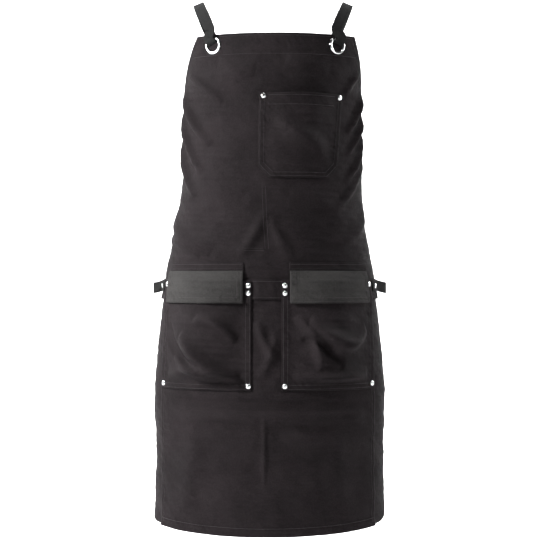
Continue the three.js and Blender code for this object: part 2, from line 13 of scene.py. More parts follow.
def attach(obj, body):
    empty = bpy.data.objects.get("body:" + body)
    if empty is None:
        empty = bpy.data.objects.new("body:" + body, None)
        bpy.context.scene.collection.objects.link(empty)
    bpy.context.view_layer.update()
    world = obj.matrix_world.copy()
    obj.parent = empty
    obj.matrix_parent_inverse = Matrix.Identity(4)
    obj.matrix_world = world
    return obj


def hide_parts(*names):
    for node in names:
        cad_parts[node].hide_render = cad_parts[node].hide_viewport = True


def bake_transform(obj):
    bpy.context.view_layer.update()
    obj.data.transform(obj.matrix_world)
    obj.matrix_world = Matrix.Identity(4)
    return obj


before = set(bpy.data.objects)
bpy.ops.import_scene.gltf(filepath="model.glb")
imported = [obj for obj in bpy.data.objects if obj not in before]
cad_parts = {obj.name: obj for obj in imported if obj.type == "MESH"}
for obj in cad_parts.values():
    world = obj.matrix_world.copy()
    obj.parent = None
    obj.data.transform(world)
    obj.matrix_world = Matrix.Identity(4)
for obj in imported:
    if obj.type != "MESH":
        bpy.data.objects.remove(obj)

LOG = logging.getLogger("apron")
Array = np.ndarray
Places = tuple[Array, Array]
SIDES: tuple[tuple[str, int], ...] = (("left", 1), ("right", -1))

BIB_TOP = -0.065
WAIST_SEAM = -0.507
SEAM_HALF_GAP = 0.0004
HEM = -0.930
CLOTH = 0.0012
FIRST_LAYER = 0.0017
SECOND_LAYER = 0.0036


def smooth(low: float, high: float, value: Array) -> Array:
    """Smooth step from 0 at low to 1 at high."""
    t = np.clip((value - low) / (high - low), 0.0, 1.0)
    return t * t * (3.0 - 2.0 * t)


def mix(a: Array | float, b: Array | float, t: Array | float) -> Array:
    """Straight mix from a to b."""
    return a + (b - a) * t


# ---------------------------------------------------------------- the wearer's form


@dataclass(frozen=True)
class Station:
    """Plan section of the wearer's form at one height, and the apron's edge there, in metres."""

    z: float
    width: float
    depth: float
    centre: float
    shift: float
    edge: float


class WearerForm:
    """The smooth body that the apron hangs round: an ellipse at each height."""

    STATIONS: tuple[Station, ...] = (
        Station(BIB_TOP, 0.165, 0.110, 0.011, 0.000, 0.149),
        Station(-0.118, 0.161, 0.112, 0.008, -0.001, 0.178),
        Station(-0.171, 0.157, 0.115, 0.005, -0.002, 0.203),
        Station(-0.292, 0.157, 0.113, 0.005, -0.009, 0.221),
        Station(-0.392, 0.167, 0.114, 0.001, -0.007, 0.229),
        Station(-0.492, 0.186, 0.118, 0.000, -0.005, 0.244),
        Station(-0.681, 0.206, 0.128, 0.000, -0.005, 0.284),
        Station(-0.800, 0.203, 0.127, 0.000, -0.005, 0.286),
        Station(HEM, 0.207, 0.129, 0.000, -0.005, 0.286),
    )

    def value(self, key: str, z: Array) -> Array:
        """Smooth value of one station field at each height.

        Args:
            key: The field's name.
            z: Heights in metres.

        Returns:
            The field's value at each height.
        """
        z = np.asarray(z, float)
        heights = np.array([-station.z for station in self.STATIONS])
        values = np.array([getattr(station, key) for station in self.STATIONS])
        last = len(values) - 1
        above = np.maximum(np.arange(last + 1) - 1, 0)
        below = np.minimum(np.arange(last + 1) + 1, last)
        slopes = (values[below] - values[above]) / (heights[below] - heights[above])
        i = np.clip(np.searchsorted(heights, -z, side="right") - 1, 0, last - 1)
        span = heights[i + 1] - heights[i]
        t = np.clip((-z - heights[i]) / span, 0.0, 1.0)
        t2 = t * t
        t3 = t2 * t
        return (
            values[i] * (2 * t3 - 3 * t2 + 1)
            + slopes[i] * span * (t3 - 2 * t2 + t)
            + values[i + 1] * (3 * t2 - 2 * t3)
            + slopes[i + 1] * span * (t3 - t2)
        )

    def place(self, s: Array, z: Array, offset: Array | float = 0.0) -> Places:
        """Points on the form and their outward directions.

        Args:
            s: Distances along the cloth from the apron's middle line.
            z: Heights.
            offset: Distances out from the form.

        Returns:
            The points and the unit outward directions, each as rows of x, y, z.
        """
        s, z, offset = np.broadcast_arrays(np.asarray(s, float), np.asarray(z, float), offset)
        width = self.value("width", z)
        depth = self.value("depth", z)
        steps = 24
        step = (s + self.value("shift", z)) / steps
        angle = np.zeros_like(step)
        for _ in range(steps):
            rate = 1.0 / np.hypot(width * np.cos(angle), depth * np.sin(angle))
            middle = angle + 0.5 * step * rate
            angle = angle + step / np.hypot(width * np.cos(middle), depth * np.sin(middle))
        out = np.stack([np.sin(angle) / width, -np.cos(angle) / depth, np.zeros_like(angle)], axis=-1)
        out /= np.linalg.norm(out, axis=-1, keepdims=True)
        x = self.value("centre", z) + width * np.sin(angle)
        point = np.stack([x, -depth * np.cos(angle), z], axis=-1)
        return point + out * offset[..., None], out


FORM = WearerForm()


def edge_at(z: Array) -> Array:
    """Distance along the cloth from the middle line to the apron's side edge."""
    return FORM.value("edge", z)


# ---------------------------------------------------------------- hardware places


@dataclass(frozen=True)
class RivetPlace:
    """One rivet: its place on the cloth and the faces of the layers that it holds."""

    name: str
    s: float
    z: float
    outer: float
    inner: float


STRAP_SEAT = SECOND_LAYER + 0.0004
EYELET_S = 0.112
EYELET_Z = -0.083


def rivet_places() -> list[RivetPlace]:
    """Every rivet on the apron."""
    foot = FIRST_LAYER + CLOTH
    mouth = SECOND_LAYER + CLOTH
    places = [
        RivetPlace("chest_outer", 0.125, -0.174, foot, 0.0),
        RivetPlace("chest_inner", -0.013, -0.174, foot, 0.0),
    ]
    for side, sign in SIDES:
        places += [
            RivetPlace(f"{side}_mouth_outer", sign * 0.197, -0.498, mouth, 0.0),
            RivetPlace(f"{side}_mouth_inner", sign * 0.031, -0.500, mouth, 0.0),
            RivetPlace(f"{side}_mouth_second", sign * 0.031, -0.513, mouth, 0.0),
            RivetPlace(f"{side}_foot_outer", sign * 0.198, -0.671, foot, -0.0022),
            RivetPlace(f"{side}_foot_inner", sign * 0.031, -0.672, foot, 0.0),
            RivetPlace(f"{side}_strap", sign * 0.220, -0.501, STRAP_SEAT + 0.0017, 0.0),
        ]
    return places


# ---------------------------------------------------------------- folds in the cloth


FOLD_DEPTH = 2.3


@dataclass(frozen=True)
class Fold:
    """A soft ridge, or a hollow where height is negative, along a bowed line on the cloth."""

    start: tuple[float, float]
    end: tuple[float, float]
    width: float
    height: float
    bow: float = 0.0

    def field(self, s: Array, z: Array) -> Array:
        """Height of the ridge at each place."""
        ds, dz = self.end[0] - self.start[0], self.end[1] - self.start[1]
        length = math.hypot(ds, dz)
        along = ((s - self.start[0]) * ds + (z - self.start[1]) * dz) / length**2
        across = ((s - self.start[0]) * dz - (z - self.start[1]) * ds) / length
        inside = np.clip(along, 0.0, 1.0)
        across = across - self.bow * 4.0 * inside * (1.0 - inside)
        taper = np.sin(math.pi * inside) ** 0.7
        beyond = (along - inside) * length
        ridge = np.exp(-((across / self.width) ** 2) - (beyond / self.width) ** 2)
        return FOLD_DEPTH * self.height * taper * ridge


BODY_FOLDS: tuple[Fold, ...] = (
    Fold((-0.190, -0.150), (-0.105, -0.255), 0.008, 0.0050, 0.008),
    Fold((-0.198, -0.185), (-0.120, -0.305), 0.007, 0.0046, 0.006),
    Fold((-0.205, -0.225), (-0.135, -0.345), 0.007, 0.0040, 0.006),
    Fold((-0.180, -0.125), (-0.085, -0.185), 0.008, 0.0030, -0.005),
    Fold((0.192, -0.150), (0.146, -0.232), 0.007, 0.0052, -0.006),
    Fold((0.200, -0.185), (0.148, -0.272), 0.006, 0.0050, -0.005),
    Fold((0.206, -0.220), (0.146, -0.322), 0.007, 0.0046, -0.006),
    Fold((0.212, -0.260), (0.120, -0.372), 0.008, 0.0036, -0.006),
    Fold((0.180, -0.120), (0.138, -0.165), 0.007, 0.0032, 0.004),
    Fold((-0.225, -0.370), (-0.095, -0.440), 0.012, 0.0036, 0.010),
    Fold((-0.215, -0.415), (-0.120, -0.452), 0.008, 0.0028, -0.006),
    Fold((0.222, -0.365), (0.110, -0.430), 0.012, 0.0034, -0.010),
    Fold((-0.048, -0.452), (0.000, -0.372), 0.009, 0.0022, 0.004),
    Fold((0.045, -0.452), (0.006, -0.380), 0.009, 0.0020, -0.004),
    Fold((-0.100, -0.120), (-0.030, -0.128), 0.016, 0.0018, 0.006),
    Fold((0.020, -0.112), (0.100, -0.126), 0.015, 0.0018, -0.005),
    Fold((-0.140, -0.300), (-0.040, -0.345), 0.018, 0.0020, 0.010),
    Fold((0.040, -0.340), (0.150, -0.395), 0.018, 0.0020, -0.008),
    Fold((-0.016, -0.560), (0.014, -0.625), 0.007, 0.0030, 0.004),
    Fold((0.016, -0.575), (-0.010, -0.660), 0.008, 0.0022, -0.005),
    Fold((-0.190, -0.702), (0.190, -0.706), 0.008, -0.0030, 0.004),
    Fold((-0.180, -0.722), (0.180, -0.726), 0.012, 0.0026, 0.004),
    Fold((-0.170, -0.790), (-0.020, -0.806), 0.018, 0.0016, 0.008),
    Fold((0.020, -0.770), (0.170, -0.790), 0.018, 0.0016, -0.006),
    Fold((-0.120, -0.860), (0.090, -0.850), 0.022, 0.0014, 0.008),
    Fold((-0.004, -0.715), (-0.004, -0.850), 0.004, 0.0012, 0.0),
    Fold((0.120, -0.740), (0.140, -0.900), 0.020, 0.0022, 0.006),
    Fold((-0.130, -0.740), (-0.150, -0.900), 0.020, 0.0022, -0.006),
)

LEFT_POCKET_FOLDS: tuple[Fold, ...] = (
    Fold((0.072, -0.560), (0.160, -0.598), 0.011, 0.0070, 0.012),
    Fold((0.060, -0.590), (0.130, -0.640), 0.008, -0.0050, -0.010),
    Fold((0.110, -0.612), (0.182, -0.575), 0.009, 0.0050, 0.008),
    Fold((0.050, -0.552), (0.092, -0.645), 0.008, 0.0050, -0.010),
    Fold((0.045, -0.655), (0.185, -0.652), 0.009, 0.0048, 0.006),
    Fold((0.060, -0.668), (0.180, -0.668), 0.005, -0.0022, 0.002),
)

RIGHT_POCKET_FOLDS: tuple[Fold, ...] = (
    Fold((-0.150, -0.585), (-0.048, -0.660), 0.011, 0.0076, 0.014),
    Fold((-0.165, -0.620), (-0.080, -0.664), 0.008, 0.0050, 0.006),
    Fold((-0.120, -0.556), (-0.052, -0.596), 0.009, 0.0050, -0.010),
    Fold((-0.185, -0.570), (-0.120, -0.640), 0.008, -0.0046, 0.010),
    Fold((-0.185, -0.652), (-0.045, -0.655), 0.009, 0.0044, -0.005),
    Fold((-0.180, -0.668), (-0.060, -0.668), 0.005, -0.0022, 0.002),
)

CHEST_POCKET_FOLDS: tuple[Fold, ...] = (
    Fold((-0.005, -0.200), (0.080, -0.245), 0.014, 0.0030, 0.008),
    Fold((0.030, -0.235), (0.118, -0.285), 0.014, 0.0030, -0.008),
    Fold((0.000, -0.290), (0.110, -0.298), 0.008, 0.0022, 0.004),
)


# direction, number of waves for one size, and phase
CRUMPLE_WAVES = ((0.3, 1.0, 0.4), (1.4, 1.37, 2.1), (2.3, 0.81, 4.0), (0.9, 1.93, 5.2))


def crumple(s: Array, z: Array, size: float) -> Array:
    """Uneven waves of about the given size, between -1 and 1."""
    total = np.zeros_like(s)
    for k, (turn, stretch, phase) in enumerate(CRUMPLE_WAVES):
        warp = 0.6 * np.sin(s * 2.3 / size + 1.7 * k) + 0.6 * np.sin(z * 2.9 / size + 2.3 * k)
        line = s * math.cos(turn) + z * math.sin(turn)
        total += np.sin(2.0 * math.pi * stretch * line / size + phase + warp)
    return total / len(CRUMPLE_WAVES)


class Drape:
    """How far the hanging cloth stands off the smooth form, shared by every layer."""

    CALM_RADIUS = 0.020

    def __init__(self) -> None:
        self.calm: list[tuple[float, float]] = [(place.s, place.z) for place in rivet_places()]
        self.calm += [(sign * EYELET_S, EYELET_Z) for _, sign in SIDES]

    def field(self, s: Array, z: Array) -> Array:
        """The cloth's own lift at each place, nothing near the hardware."""
        lift = 0.0012 * crumple(s, z, 0.085) + 0.0007 * crumple(s, z, 0.036)
        lift = lift + 0.00025 * crumple(z, s, 0.015) + 0.0012
        lift = lift + 0.0008 * crumple(0.13 * s, z, 0.017)
        for fold in BODY_FOLDS:
            lift = lift + fold.field(s, z)
        inside = edge_at(z) - np.abs(s)
        lift = np.maximum(lift, -0.0005) * mix(0.35, 1.0, smooth(0.0, 0.030, inside))
        for calm_s, calm_z in self.calm:
            distance = np.hypot(s - calm_s, z - calm_z)
            lift = lift * smooth(0.35 * self.CALM_RADIUS, self.CALM_RADIUS, distance)
        return lift * smooth(-BIB_TOP, -BIB_TOP + 0.05, -z + 0.02)


DRAPE = Drape()


# ---------------------------------------------------------------- finishes


class NodeTree:
    """Short helper for wiring shader nodes."""

    def __init__(self, tree: bpy.types.NodeTree) -> None:
        self.tree = tree

    def add(self, kind: str, **settings: object) -> bpy.types.Node:
        """A new node with its settings."""
        node = self.tree.nodes.new(kind)
        for key, value in settings.items():
            setattr(node, key, value)
        return node

    def join(self, source: bpy.types.NodeSocket, target: bpy.types.NodeSocket) -> None:
        """Wires one socket to another."""
        self.tree.links.new(source, target)

    def maths(self, operation: str, *inputs: object) -> bpy.types.NodeSocket:
        """A maths node fed by sockets and numbers."""
        node = self.add("ShaderNodeMath", operation=operation)
        for k, value in enumerate(inputs):
            if isinstance(value, bpy.types.NodeSocket):
                self.join(value, node.inputs[k])
            else:
                node.inputs[k].default_value = value
        return node.outputs[0]

    def noise(self, source: bpy.types.NodeSocket, scale: float, detail: float) -> bpy.types.NodeSocket:
        """Noise of one scale at the source's places."""
        node = self.add("ShaderNodeTexNoise")
        node.inputs["Scale"].default_value = scale
        node.inputs["Detail"].default_value = detail
        self.join(source, node.inputs["Vector"])
        return node.outputs[0]

    def wear(self) -> bpy.types.Node:
        """The uneven wear over this object."""
        node = self.add("ShaderNodeGroup", node_tree=wear_group())
        place = self.add("ShaderNodeTexCoord")
        self.join(place.outputs["Object"], node.inputs["Place"])
        return node

    def bump(self, height: bpy.types.NodeSocket, strength: float, distance: float) -> bpy.types.NodeSocket:
        """A normal with relief of this height."""
        node = self.add("ShaderNodeBump")
        node.inputs["Strength"].default_value = strength
        node.inputs["Distance"].default_value = distance
        self.join(height, node.inputs["Height"])
        return node.outputs[0]


def new_group(name: str, inputs: tuple[tuple[str, str], ...], outputs: tuple[str, ...]) -> bpy.types.NodeTree:
    """An empty shader node group with named sockets.

    Args:
        name: The group's name.
        inputs: Socket names and types.
        outputs: Names of the float outputs.

    Returns:
        The group.
    """
    group = bpy.data.node_groups.new(name, "ShaderNodeTree")
    for label, kind in inputs:
        group.interface.new_socket(label, in_out="INPUT", socket_type=kind)
    for label in outputs:
        group.interface.new_socket(label, in_out="OUTPUT", socket_type="NodeSocketFloat")
    return group


@cache
def weave_group() -> bpy.types.NodeTree:
    """Threads crossing each other on a diagonal, from flat cloth coordinates in metres."""
    group = new_group(
        "Woven threads",
        (("Cloth", "NodeSocketVector"), ("Threads per metre", "NodeSocketFloat")),
        ("Height", "Tone"),
    )
    wire = NodeTree(group)
    start = wire.add("NodeGroupInput")
    end = wire.add("NodeGroupOutput")
    parts = wire.add("ShaderNodeSeparateXYZ")
    wire.join(start.outputs["Cloth"], parts.inputs[0])
    turns = wire.maths("MULTIPLY", start.outputs["Threads per metre"], 2.0 * math.pi)
    across = wire.maths("MULTIPLY", parts.outputs["X"], turns)
    upward = wire.maths("MULTIPLY", parts.outputs["Y"], turns)
    warp = wire.maths("SINE", across)
    weft = wire.maths("SINE", upward)
    diagonal = wire.maths("SINE", wire.maths("MULTIPLY", wire.maths("ADD", across, upward), 0.5))
    plain = wire.maths("MULTIPLY", warp, weft)
    height = wire.maths("ADD", wire.maths("MULTIPLY", plain, 0.5), wire.maths("MULTIPLY", diagonal, 0.5))
    wire.join(height, end.inputs["Height"])
    slub = wire.noise(start.outputs["Cloth"], 900.0, 2.0)
    tone = wire.maths("ADD", wire.maths("MULTIPLY", height, 0.25), slub)
    wire.join(tone, end.inputs["Tone"])
    return group


@cache
def wear_group() -> bpy.types.NodeTree:
    """Cloudy unevenness of dye and handling over a piece, and fine specks of lint."""
    group = new_group("Uneven wear", (("Place", "NodeSocketVector"),), ("Clouds", "Specks"))
    wire = NodeTree(group)
    start = wire.add("NodeGroupInput")
    end = wire.add("NodeGroupOutput")
    for label, scale, detail in (("Clouds", 14.0, 6.0), ("Specks", 420.0, 3.0)):
        wire.join(wire.noise(start.outputs["Place"], scale, detail), end.inputs[label])
    return group


@dataclass(frozen=True)
class WovenFinish:
    """A woven cloth: two close tones, thread relief and a soft sheen."""

    name: str
    dark: tuple[float, float, float]
    light: tuple[float, float, float]
    threads: float
    relief: float
    roughness: float
    sheen: float

    def build(self) -> bpy.types.Material:
        """The finish as a material."""
        material = bpy.data.materials.new(self.name)
        material.use_nodes = True
        wire = NodeTree(material.node_tree)
        shader = material.node_tree.nodes["Principled BSDF"]
        cloth = wire.add("ShaderNodeUVMap", uv_map="Cloth")
        weave = wire.add("ShaderNodeGroup", node_tree=weave_group())
        weave.inputs["Threads per metre"].default_value = self.threads
        wire.join(cloth.outputs[0], weave.inputs["Cloth"])
        wear = wire.wear()
        share = wire.maths("MULTIPLY", weave.outputs["Tone"], wear.outputs["Clouds"])
        share = wire.maths("MULTIPLY_ADD", wear.outputs["Specks"], 0.6, share)
        ramp = wire.add("ShaderNodeValToRGB")
        for stop, position, colour in zip(ramp.color_ramp.elements, (0.30, 0.85), (self.dark, self.light)):
            stop.position = position
            stop.color = (*colour, 1.0)
        wire.join(share, ramp.inputs[0])
        wire.join(ramp.outputs[0], shader.inputs["Base Color"])
        rough = wire.maths("MULTIPLY_ADD", wear.outputs["Clouds"], 0.18, self.roughness - 0.09)
        wire.join(rough, shader.inputs["Roughness"])
        grain = wire.maths("MULTIPLY_ADD", wear.outputs["Specks"], 0.7, weave.outputs["Height"])
        wire.join(wire.bump(grain, 0.6, self.relief), shader.inputs["Normal"])
        shader.inputs["Specular IOR Level"].default_value = 0.06
        shader.inputs["Sheen Weight"].default_value = self.sheen
        shader.inputs["Sheen Roughness"].default_value = 0.45
        shader.inputs["Sheen Tint"].default_value = (0.92, 0.9, 0.93, 1.0)
        return material


@dataclass(frozen=True)
class MetalFinish:
    """Bright plated metal with light handling marks."""

    name: str
    colour: tuple[float, float, float]
    roughness: float

    def build(self) -> bpy.types.Material:
        """The finish as a material."""
        material = bpy.data.materials.new(self.name)
        material.use_nodes = True
        wire = NodeTree(material.node_tree)
        shader = material.node_tree.nodes["Principled BSDF"]
        shader.inputs["Base Color"].default_value = (*self.colour, 1.0)
        shader.inputs["Metallic"].default_value = 1.0
        wear = wire.wear()
        rough = wire.maths("MULTIPLY_ADD", wear.outputs["Specks"], 0.14, self.roughness)
        wire.join(rough, shader.inputs["Roughness"])
        wire.join(wire.bump(wear.outputs["Specks"], 0.15, 0.00004), shader.inputs["Normal"])
        return material


class Finish(Enum):
    """The finishes that the apron uses."""

    CANVAS = WovenFinish(
        "Black canvas", (0.0018, 0.0012, 0.0014), (0.0118, 0.0092, 0.0101),
        threads=1500.0, relief=0.00022, roughness=0.80, sheen=0.003,
    )
    # The flaps' canvas is the same black canvas painted lighter: a painted highlight for the light that the
    # flat, forward-facing flaps catch.
    FLAP_CANVAS = WovenFinish(
        "Flap canvas painted lighter", (0.0074, 0.0070, 0.0068), (0.0260, 0.0250, 0.0244),
        threads=1500.0, relief=0.00022, roughness=0.76, sheen=0.004,
    )
    WEBBING = WovenFinish(
        "Black webbing", (0.0030, 0.0030, 0.0030), (0.0105, 0.0107, 0.0107),
        threads=620.0, relief=0.00035, roughness=0.80, sheen=0.003,
    )
    THREAD = WovenFinish(
        "Black thread", (0.0120, 0.0106, 0.0111), (0.0330, 0.0295, 0.0308),
        threads=2600.0, relief=0.00008, roughness=0.50, sheen=0.01,
    )
    NICKEL = MetalFinish("Bright nickel", (0.72, 0.73, 0.74), 0.09)

    def material(self) -> bpy.types.Material:
        """This finish's material, built once."""
        return bpy.data.materials.get(self.value.name) or self.value.build()


# ---------------------------------------------------------------- meshes


def grid_faces(columns: int, rows: int, start: int = 0, flip: bool = False) -> Array:
    """Quads of a grid whose points are stored row by row."""
    i, j = np.meshgrid(np.arange(columns), np.arange(rows))
    a = (start + j * (columns + 1) + i).ravel()
    quads = np.stack([a, a + 1, a + columns + 2, a + columns + 1], axis=1)
    return quads[:, ::-1] if flip else quads


def add_object(name: str, data: bpy.types.ID) -> bpy.types.Object:
    """A new object that holds this data, in the scene."""
    made = bpy.data.objects.new(name, data)
    bpy.context.scene.collection.objects.link(made)
    return made


def make_object(
    name: str,
    points: Array,
    faces: list[list[int]],
    uv: Array,
    finish: Finish,
    body: str | None,
) -> bpy.types.Object:
    """A smooth mesh object that rides on a body.

    Args:
        name: The object's name.
        points: Vertex positions.
        faces: The vertex numbers of each face.
        uv: Flat cloth coordinates of each vertex, in metres.
        finish: Its finish.
        body: The body that it moves with, or nothing if the caller fastens it.

    Returns:
        The object.
    """
    mesh = bpy.data.meshes.new(name)
    mesh.from_pydata(points.tolist(), [], faces)
    layer = mesh.uv_layers.new(name="Cloth")
    corners = np.zeros(len(mesh.loops), int)
    mesh.loops.foreach_get("vertex_index", corners)
    layer.data.foreach_set("uv", uv[corners].astype(np.float32).ravel())
    mesh.materials.append(finish.material())
    mesh.shade_smooth()
    piece = add_object(name, mesh)
    if body:
        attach(piece, body)
    LOG.info("built %s with %d points", name, len(points))
    return piece


@dataclass(frozen=True)
class Stitch:
    """One stitch of thread: its spacing, thickness and arch into the cloth."""

    pitch: float = 0.0036
    shown: float = 0.0028
    radius: float = 0.00036
    sides: int = 5
    shares: tuple[float, ...] = (0.0, 0.22, 0.78, 1.0)
    lifts: tuple[float, ...] = (-0.0002, 0.00022, 0.00022, -0.0002)


STITCH = Stitch()


@dataclass
class ClothPiece:
    """A cut piece of cloth on the form, with rounded edges, turned hems and rows of stitching."""

    name: str
    flat: tuple[float, float]
    area: float | None = None
    columns: int = 80
    rows: int = 80
    body: str = "apron"
    thickness: float = CLOTH
    hem_width: float = 0.009
    hem_rise: float = 0.00035
    pucker: float = 0.00022
    finish: Finish = Finish.CANVAS
    rests_on: tuple[str, ...] = ("left_shoulder_strap", "right_shoulder_strap")

    def place(self, u: Array, v: Array) -> Places:
        """Cloth distance and height for each share across and up the piece."""
        raise NotImplementedError

    def offset(self, s: Array, z: Array) -> Array:
        """How far out the inner face lies."""
        return DRAPE.field(s, z)

    def hem_distance(self, s: Array, z: Array) -> Array:
        """Distance in from the nearest turned edge."""
        return np.full_like(s, 1.0)

    def stitch_paths(self) -> list[Array]:
        """Rows of stitching as lines of distance and height."""
        return []

    def depth(self, s: Array, z: Array) -> Array:
        """Thickness of the cloth, more where it is turned under and uneven beside a seam."""
        distance = self.hem_distance(s, z)
        turned = 1.0 - smooth(self.hem_width - 0.0015, self.hem_width + 0.0010, distance)
        pucker = np.sin(2.0 * math.pi * (s + z) / 0.0120 + 3.0 * crumple(s, z, 0.06))
        near = np.exp(-(((distance - self.hem_width) / 0.009) ** 2))
        return self.thickness + self.hem_rise * turned + self.pucker * pucker * near

    def outer(
        self, s: Array, z: Array, lift: Array | float = 0.0
    ) -> Places:
        """Points on the outer face, lifted, and their outward directions."""
        return FORM.place(s, z, self.offset(s, z) + self.depth(s, z) + lift)

    def build(self) -> bpy.types.Object:
        """The piece and its stitching, standing for the CAD node of the same name.

        Returns:
            The cloth object.
        """
        up, across = np.linspace(0, 1, self.rows + 1), np.linspace(0, 1, self.columns + 1)
        v, u = np.meshgrid(up, across, indexing="ij")
        s, z = self.place(u, v)
        inner, _ = FORM.place(s, z, self.offset(s, z))
        outer, _ = self.outer(s, z)
        shape = (self.rows + 1) * (self.columns + 1)
        ids = np.arange(shape).reshape(self.rows + 1, self.columns + 1)
        rim = np.concatenate([ids[0, :-1], ids[:-1, -1], ids[-1, :0:-1], ids[:0:-1, 0]])
        inward = np.concatenate([ids[1, :-1], ids[:-1, -2], ids[-2, :0:-1], ids[:0:-1, 1]])
        flat_outer, flat_inner = outer.reshape(-1, 3), inner.reshape(-1, 3)
        away = flat_outer[rim] - flat_outer[inward]
        away /= np.linalg.norm(away, axis=1, keepdims=True)
        middle = 0.5 * (flat_outer[rim] + flat_inner[rim]) + 0.35 * self.thickness * away
        ring = 2 * shape + np.arange(len(rim))
        following = np.roll(ring, -1)
        rim_next = np.roll(rim, -1)
        faces = np.vstack([
            grid_faces(self.columns, self.rows),
            grid_faces(self.columns, self.rows, shape, flip=True),
            np.stack([rim_next, rim, ring, following], axis=1),
            np.stack([following, ring, rim + shape, rim_next + shape], axis=1),
        ])
        points = np.vstack([flat_outer, flat_inner, middle])
        flat = np.stack([s.ravel(), z.ravel()], axis=1)
        uv = np.vstack([flat, flat, flat[rim]])
        cloth = make_object(f"{self.name}_cloth", points, faces.tolist(), uv, self.finish, None)
        self.fasten(cloth)
        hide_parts(self.name)
        threads = self.sew()
        return cloth

    def fasten(self, piece: bpy.types.Object) -> None:
        """Makes a mesh move with this piece's body."""
        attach(piece, self.body)

    def sew(self) -> list[bpy.types.Object]:
        """The rows of stitching as real thread, each stitch a short arch into the cloth."""
        paths = self.stitch_paths()
        if not paths:
            return []
        starts = []
        for path in paths:
            steps = np.hypot(*np.diff(path, axis=0).T)
            reach = np.concatenate([[0.0], np.cumsum(steps)])
            at = np.arange(0.0, reach[-1] - STITCH.shown, STITCH.pitch)
            along = at[:, None] + (np.array(STITCH.shares) * STITCH.shown)[None, :]
            starts.append(np.stack([np.interp(along, reach, row) for row in path.T], axis=-1))
        stations = np.vstack(starts)
        sides, radius = STITCH.sides, STITCH.radius
        base, out = self.outer(stations[..., 0], stations[..., 1], np.array(STITCH.lifts))
        run = base[:, -1] - base[:, 0]
        run /= np.linalg.norm(run, axis=1, keepdims=True)
        aside = np.cross(run[:, None, :], out)
        turn = np.linspace(0.0, 2.0 * math.pi, sides, endpoint=False)
        rings = (
            base[:, :, None, :]
            + radius * np.cos(turn)[None, None, :, None] * aside[:, :, None, :]
            + radius * np.sin(turn)[None, None, :, None] * out[:, :, None, :]
        )
        count, length = stations.shape[:2]
        number = np.arange(count * length * sides).reshape(count, length, sides)
        a, b = number[:, :-1, :], number[:, 1:, :]
        quads = np.stack([a, np.roll(a, -1, axis=2), np.roll(b, -1, axis=2), b], axis=-1).reshape(-1, 4)
        caps = []
        for end, step in ((0, -1), (length - 1, 1)):
            caps += number[:, end, ::step].tolist()
        points = rings.reshape(-1, 3)
        uv = np.repeat(stations.reshape(-1, 2), sides, axis=0)
        faces = quads.tolist() + caps
        name = f"{self.name}_stitching"
        thread = make_object(name, points, faces, uv, Finish.THREAD, None)
        self.fasten(thread)
        return [thread]


def line(*corners: tuple[float, float], step: float = 0.004) -> Array:
    """A line through corners on the cloth, with a point at least every step."""
    points = [np.array(corners[0])]
    for start, end in zip(corners[:-1], corners[1:]):
        count = max(1, int(math.hypot(end[0] - start[0], end[1] - start[1]) / step))
        for k in range(1, count + 1):
            points.append(mix(np.array(start), np.array(end), k / count))
    return np.array(points)


def edge_line(inset: float, top: float, bottom: float, sign: int) -> Array:
    """A line along the apron's side edge, inset from it."""
    z = np.linspace(top, bottom, 120)
    return np.stack([sign * (edge_at(z) - inset), z], axis=1)


# ---------------------------------------------------------------- bib


@dataclass
class BibPanel(ClothPiece):
    """The upper body of the apron with turned armhole edges."""

    def place(self, u: Array, v: Array) -> Places:
        """The bib's cut: as wide as the form's edge at each height."""
        z = mix(WAIST_SEAM + SEAM_HALF_GAP, BIB_TOP, v)
        return (2 * u - 1) * edge_at(z), z

    def hem_distance(self, s: Array, z: Array) -> Array:
        """Turned down both armhole edges and along the top."""
        return np.minimum(edge_at(z) - np.abs(s), BIB_TOP - z - 0.004)

    def stitch_paths(self) -> list[Array]:
        """Double rows beside the edges and the top, and the tuck below the chest pocket."""
        paths = []
        for inset in (0.0035, 0.0100):
            for _, sign in SIDES:
                paths.append(edge_line(inset, BIB_TOP - 0.003, -0.486, sign))
        for drop in (0.004, 0.036):
            half = float(edge_at(np.array(BIB_TOP - drop))) - 0.012
            paths.append(line((-half, BIB_TOP - drop), (half, BIB_TOP - drop)))
        for s in (-0.0035, 0.0025):
            paths.append(line((s - 0.004, -0.330), (s + 0.002, -0.440)))
        for z in (-0.436, -0.440):
            paths.append(line((-0.036, z), (-0.004, z)))
        return paths


@dataclass
class BibFacing(ClothPiece):
    """The doubled strip inside the bib's top edge."""

    def place(self, u: Array, v: Array) -> Places:
        """A strip just short of the bib's edges."""
        z = mix(BIB_TOP - 0.040, BIB_TOP - 0.001, v)
        return (2 * u - 1) * (edge_at(z) - 0.008), z

    def offset(self, s: Array, z: Array) -> Array:
        """Behind the bib by the facing's gap."""
        return DRAPE.field(s, z) - 0.0018 - self.thickness


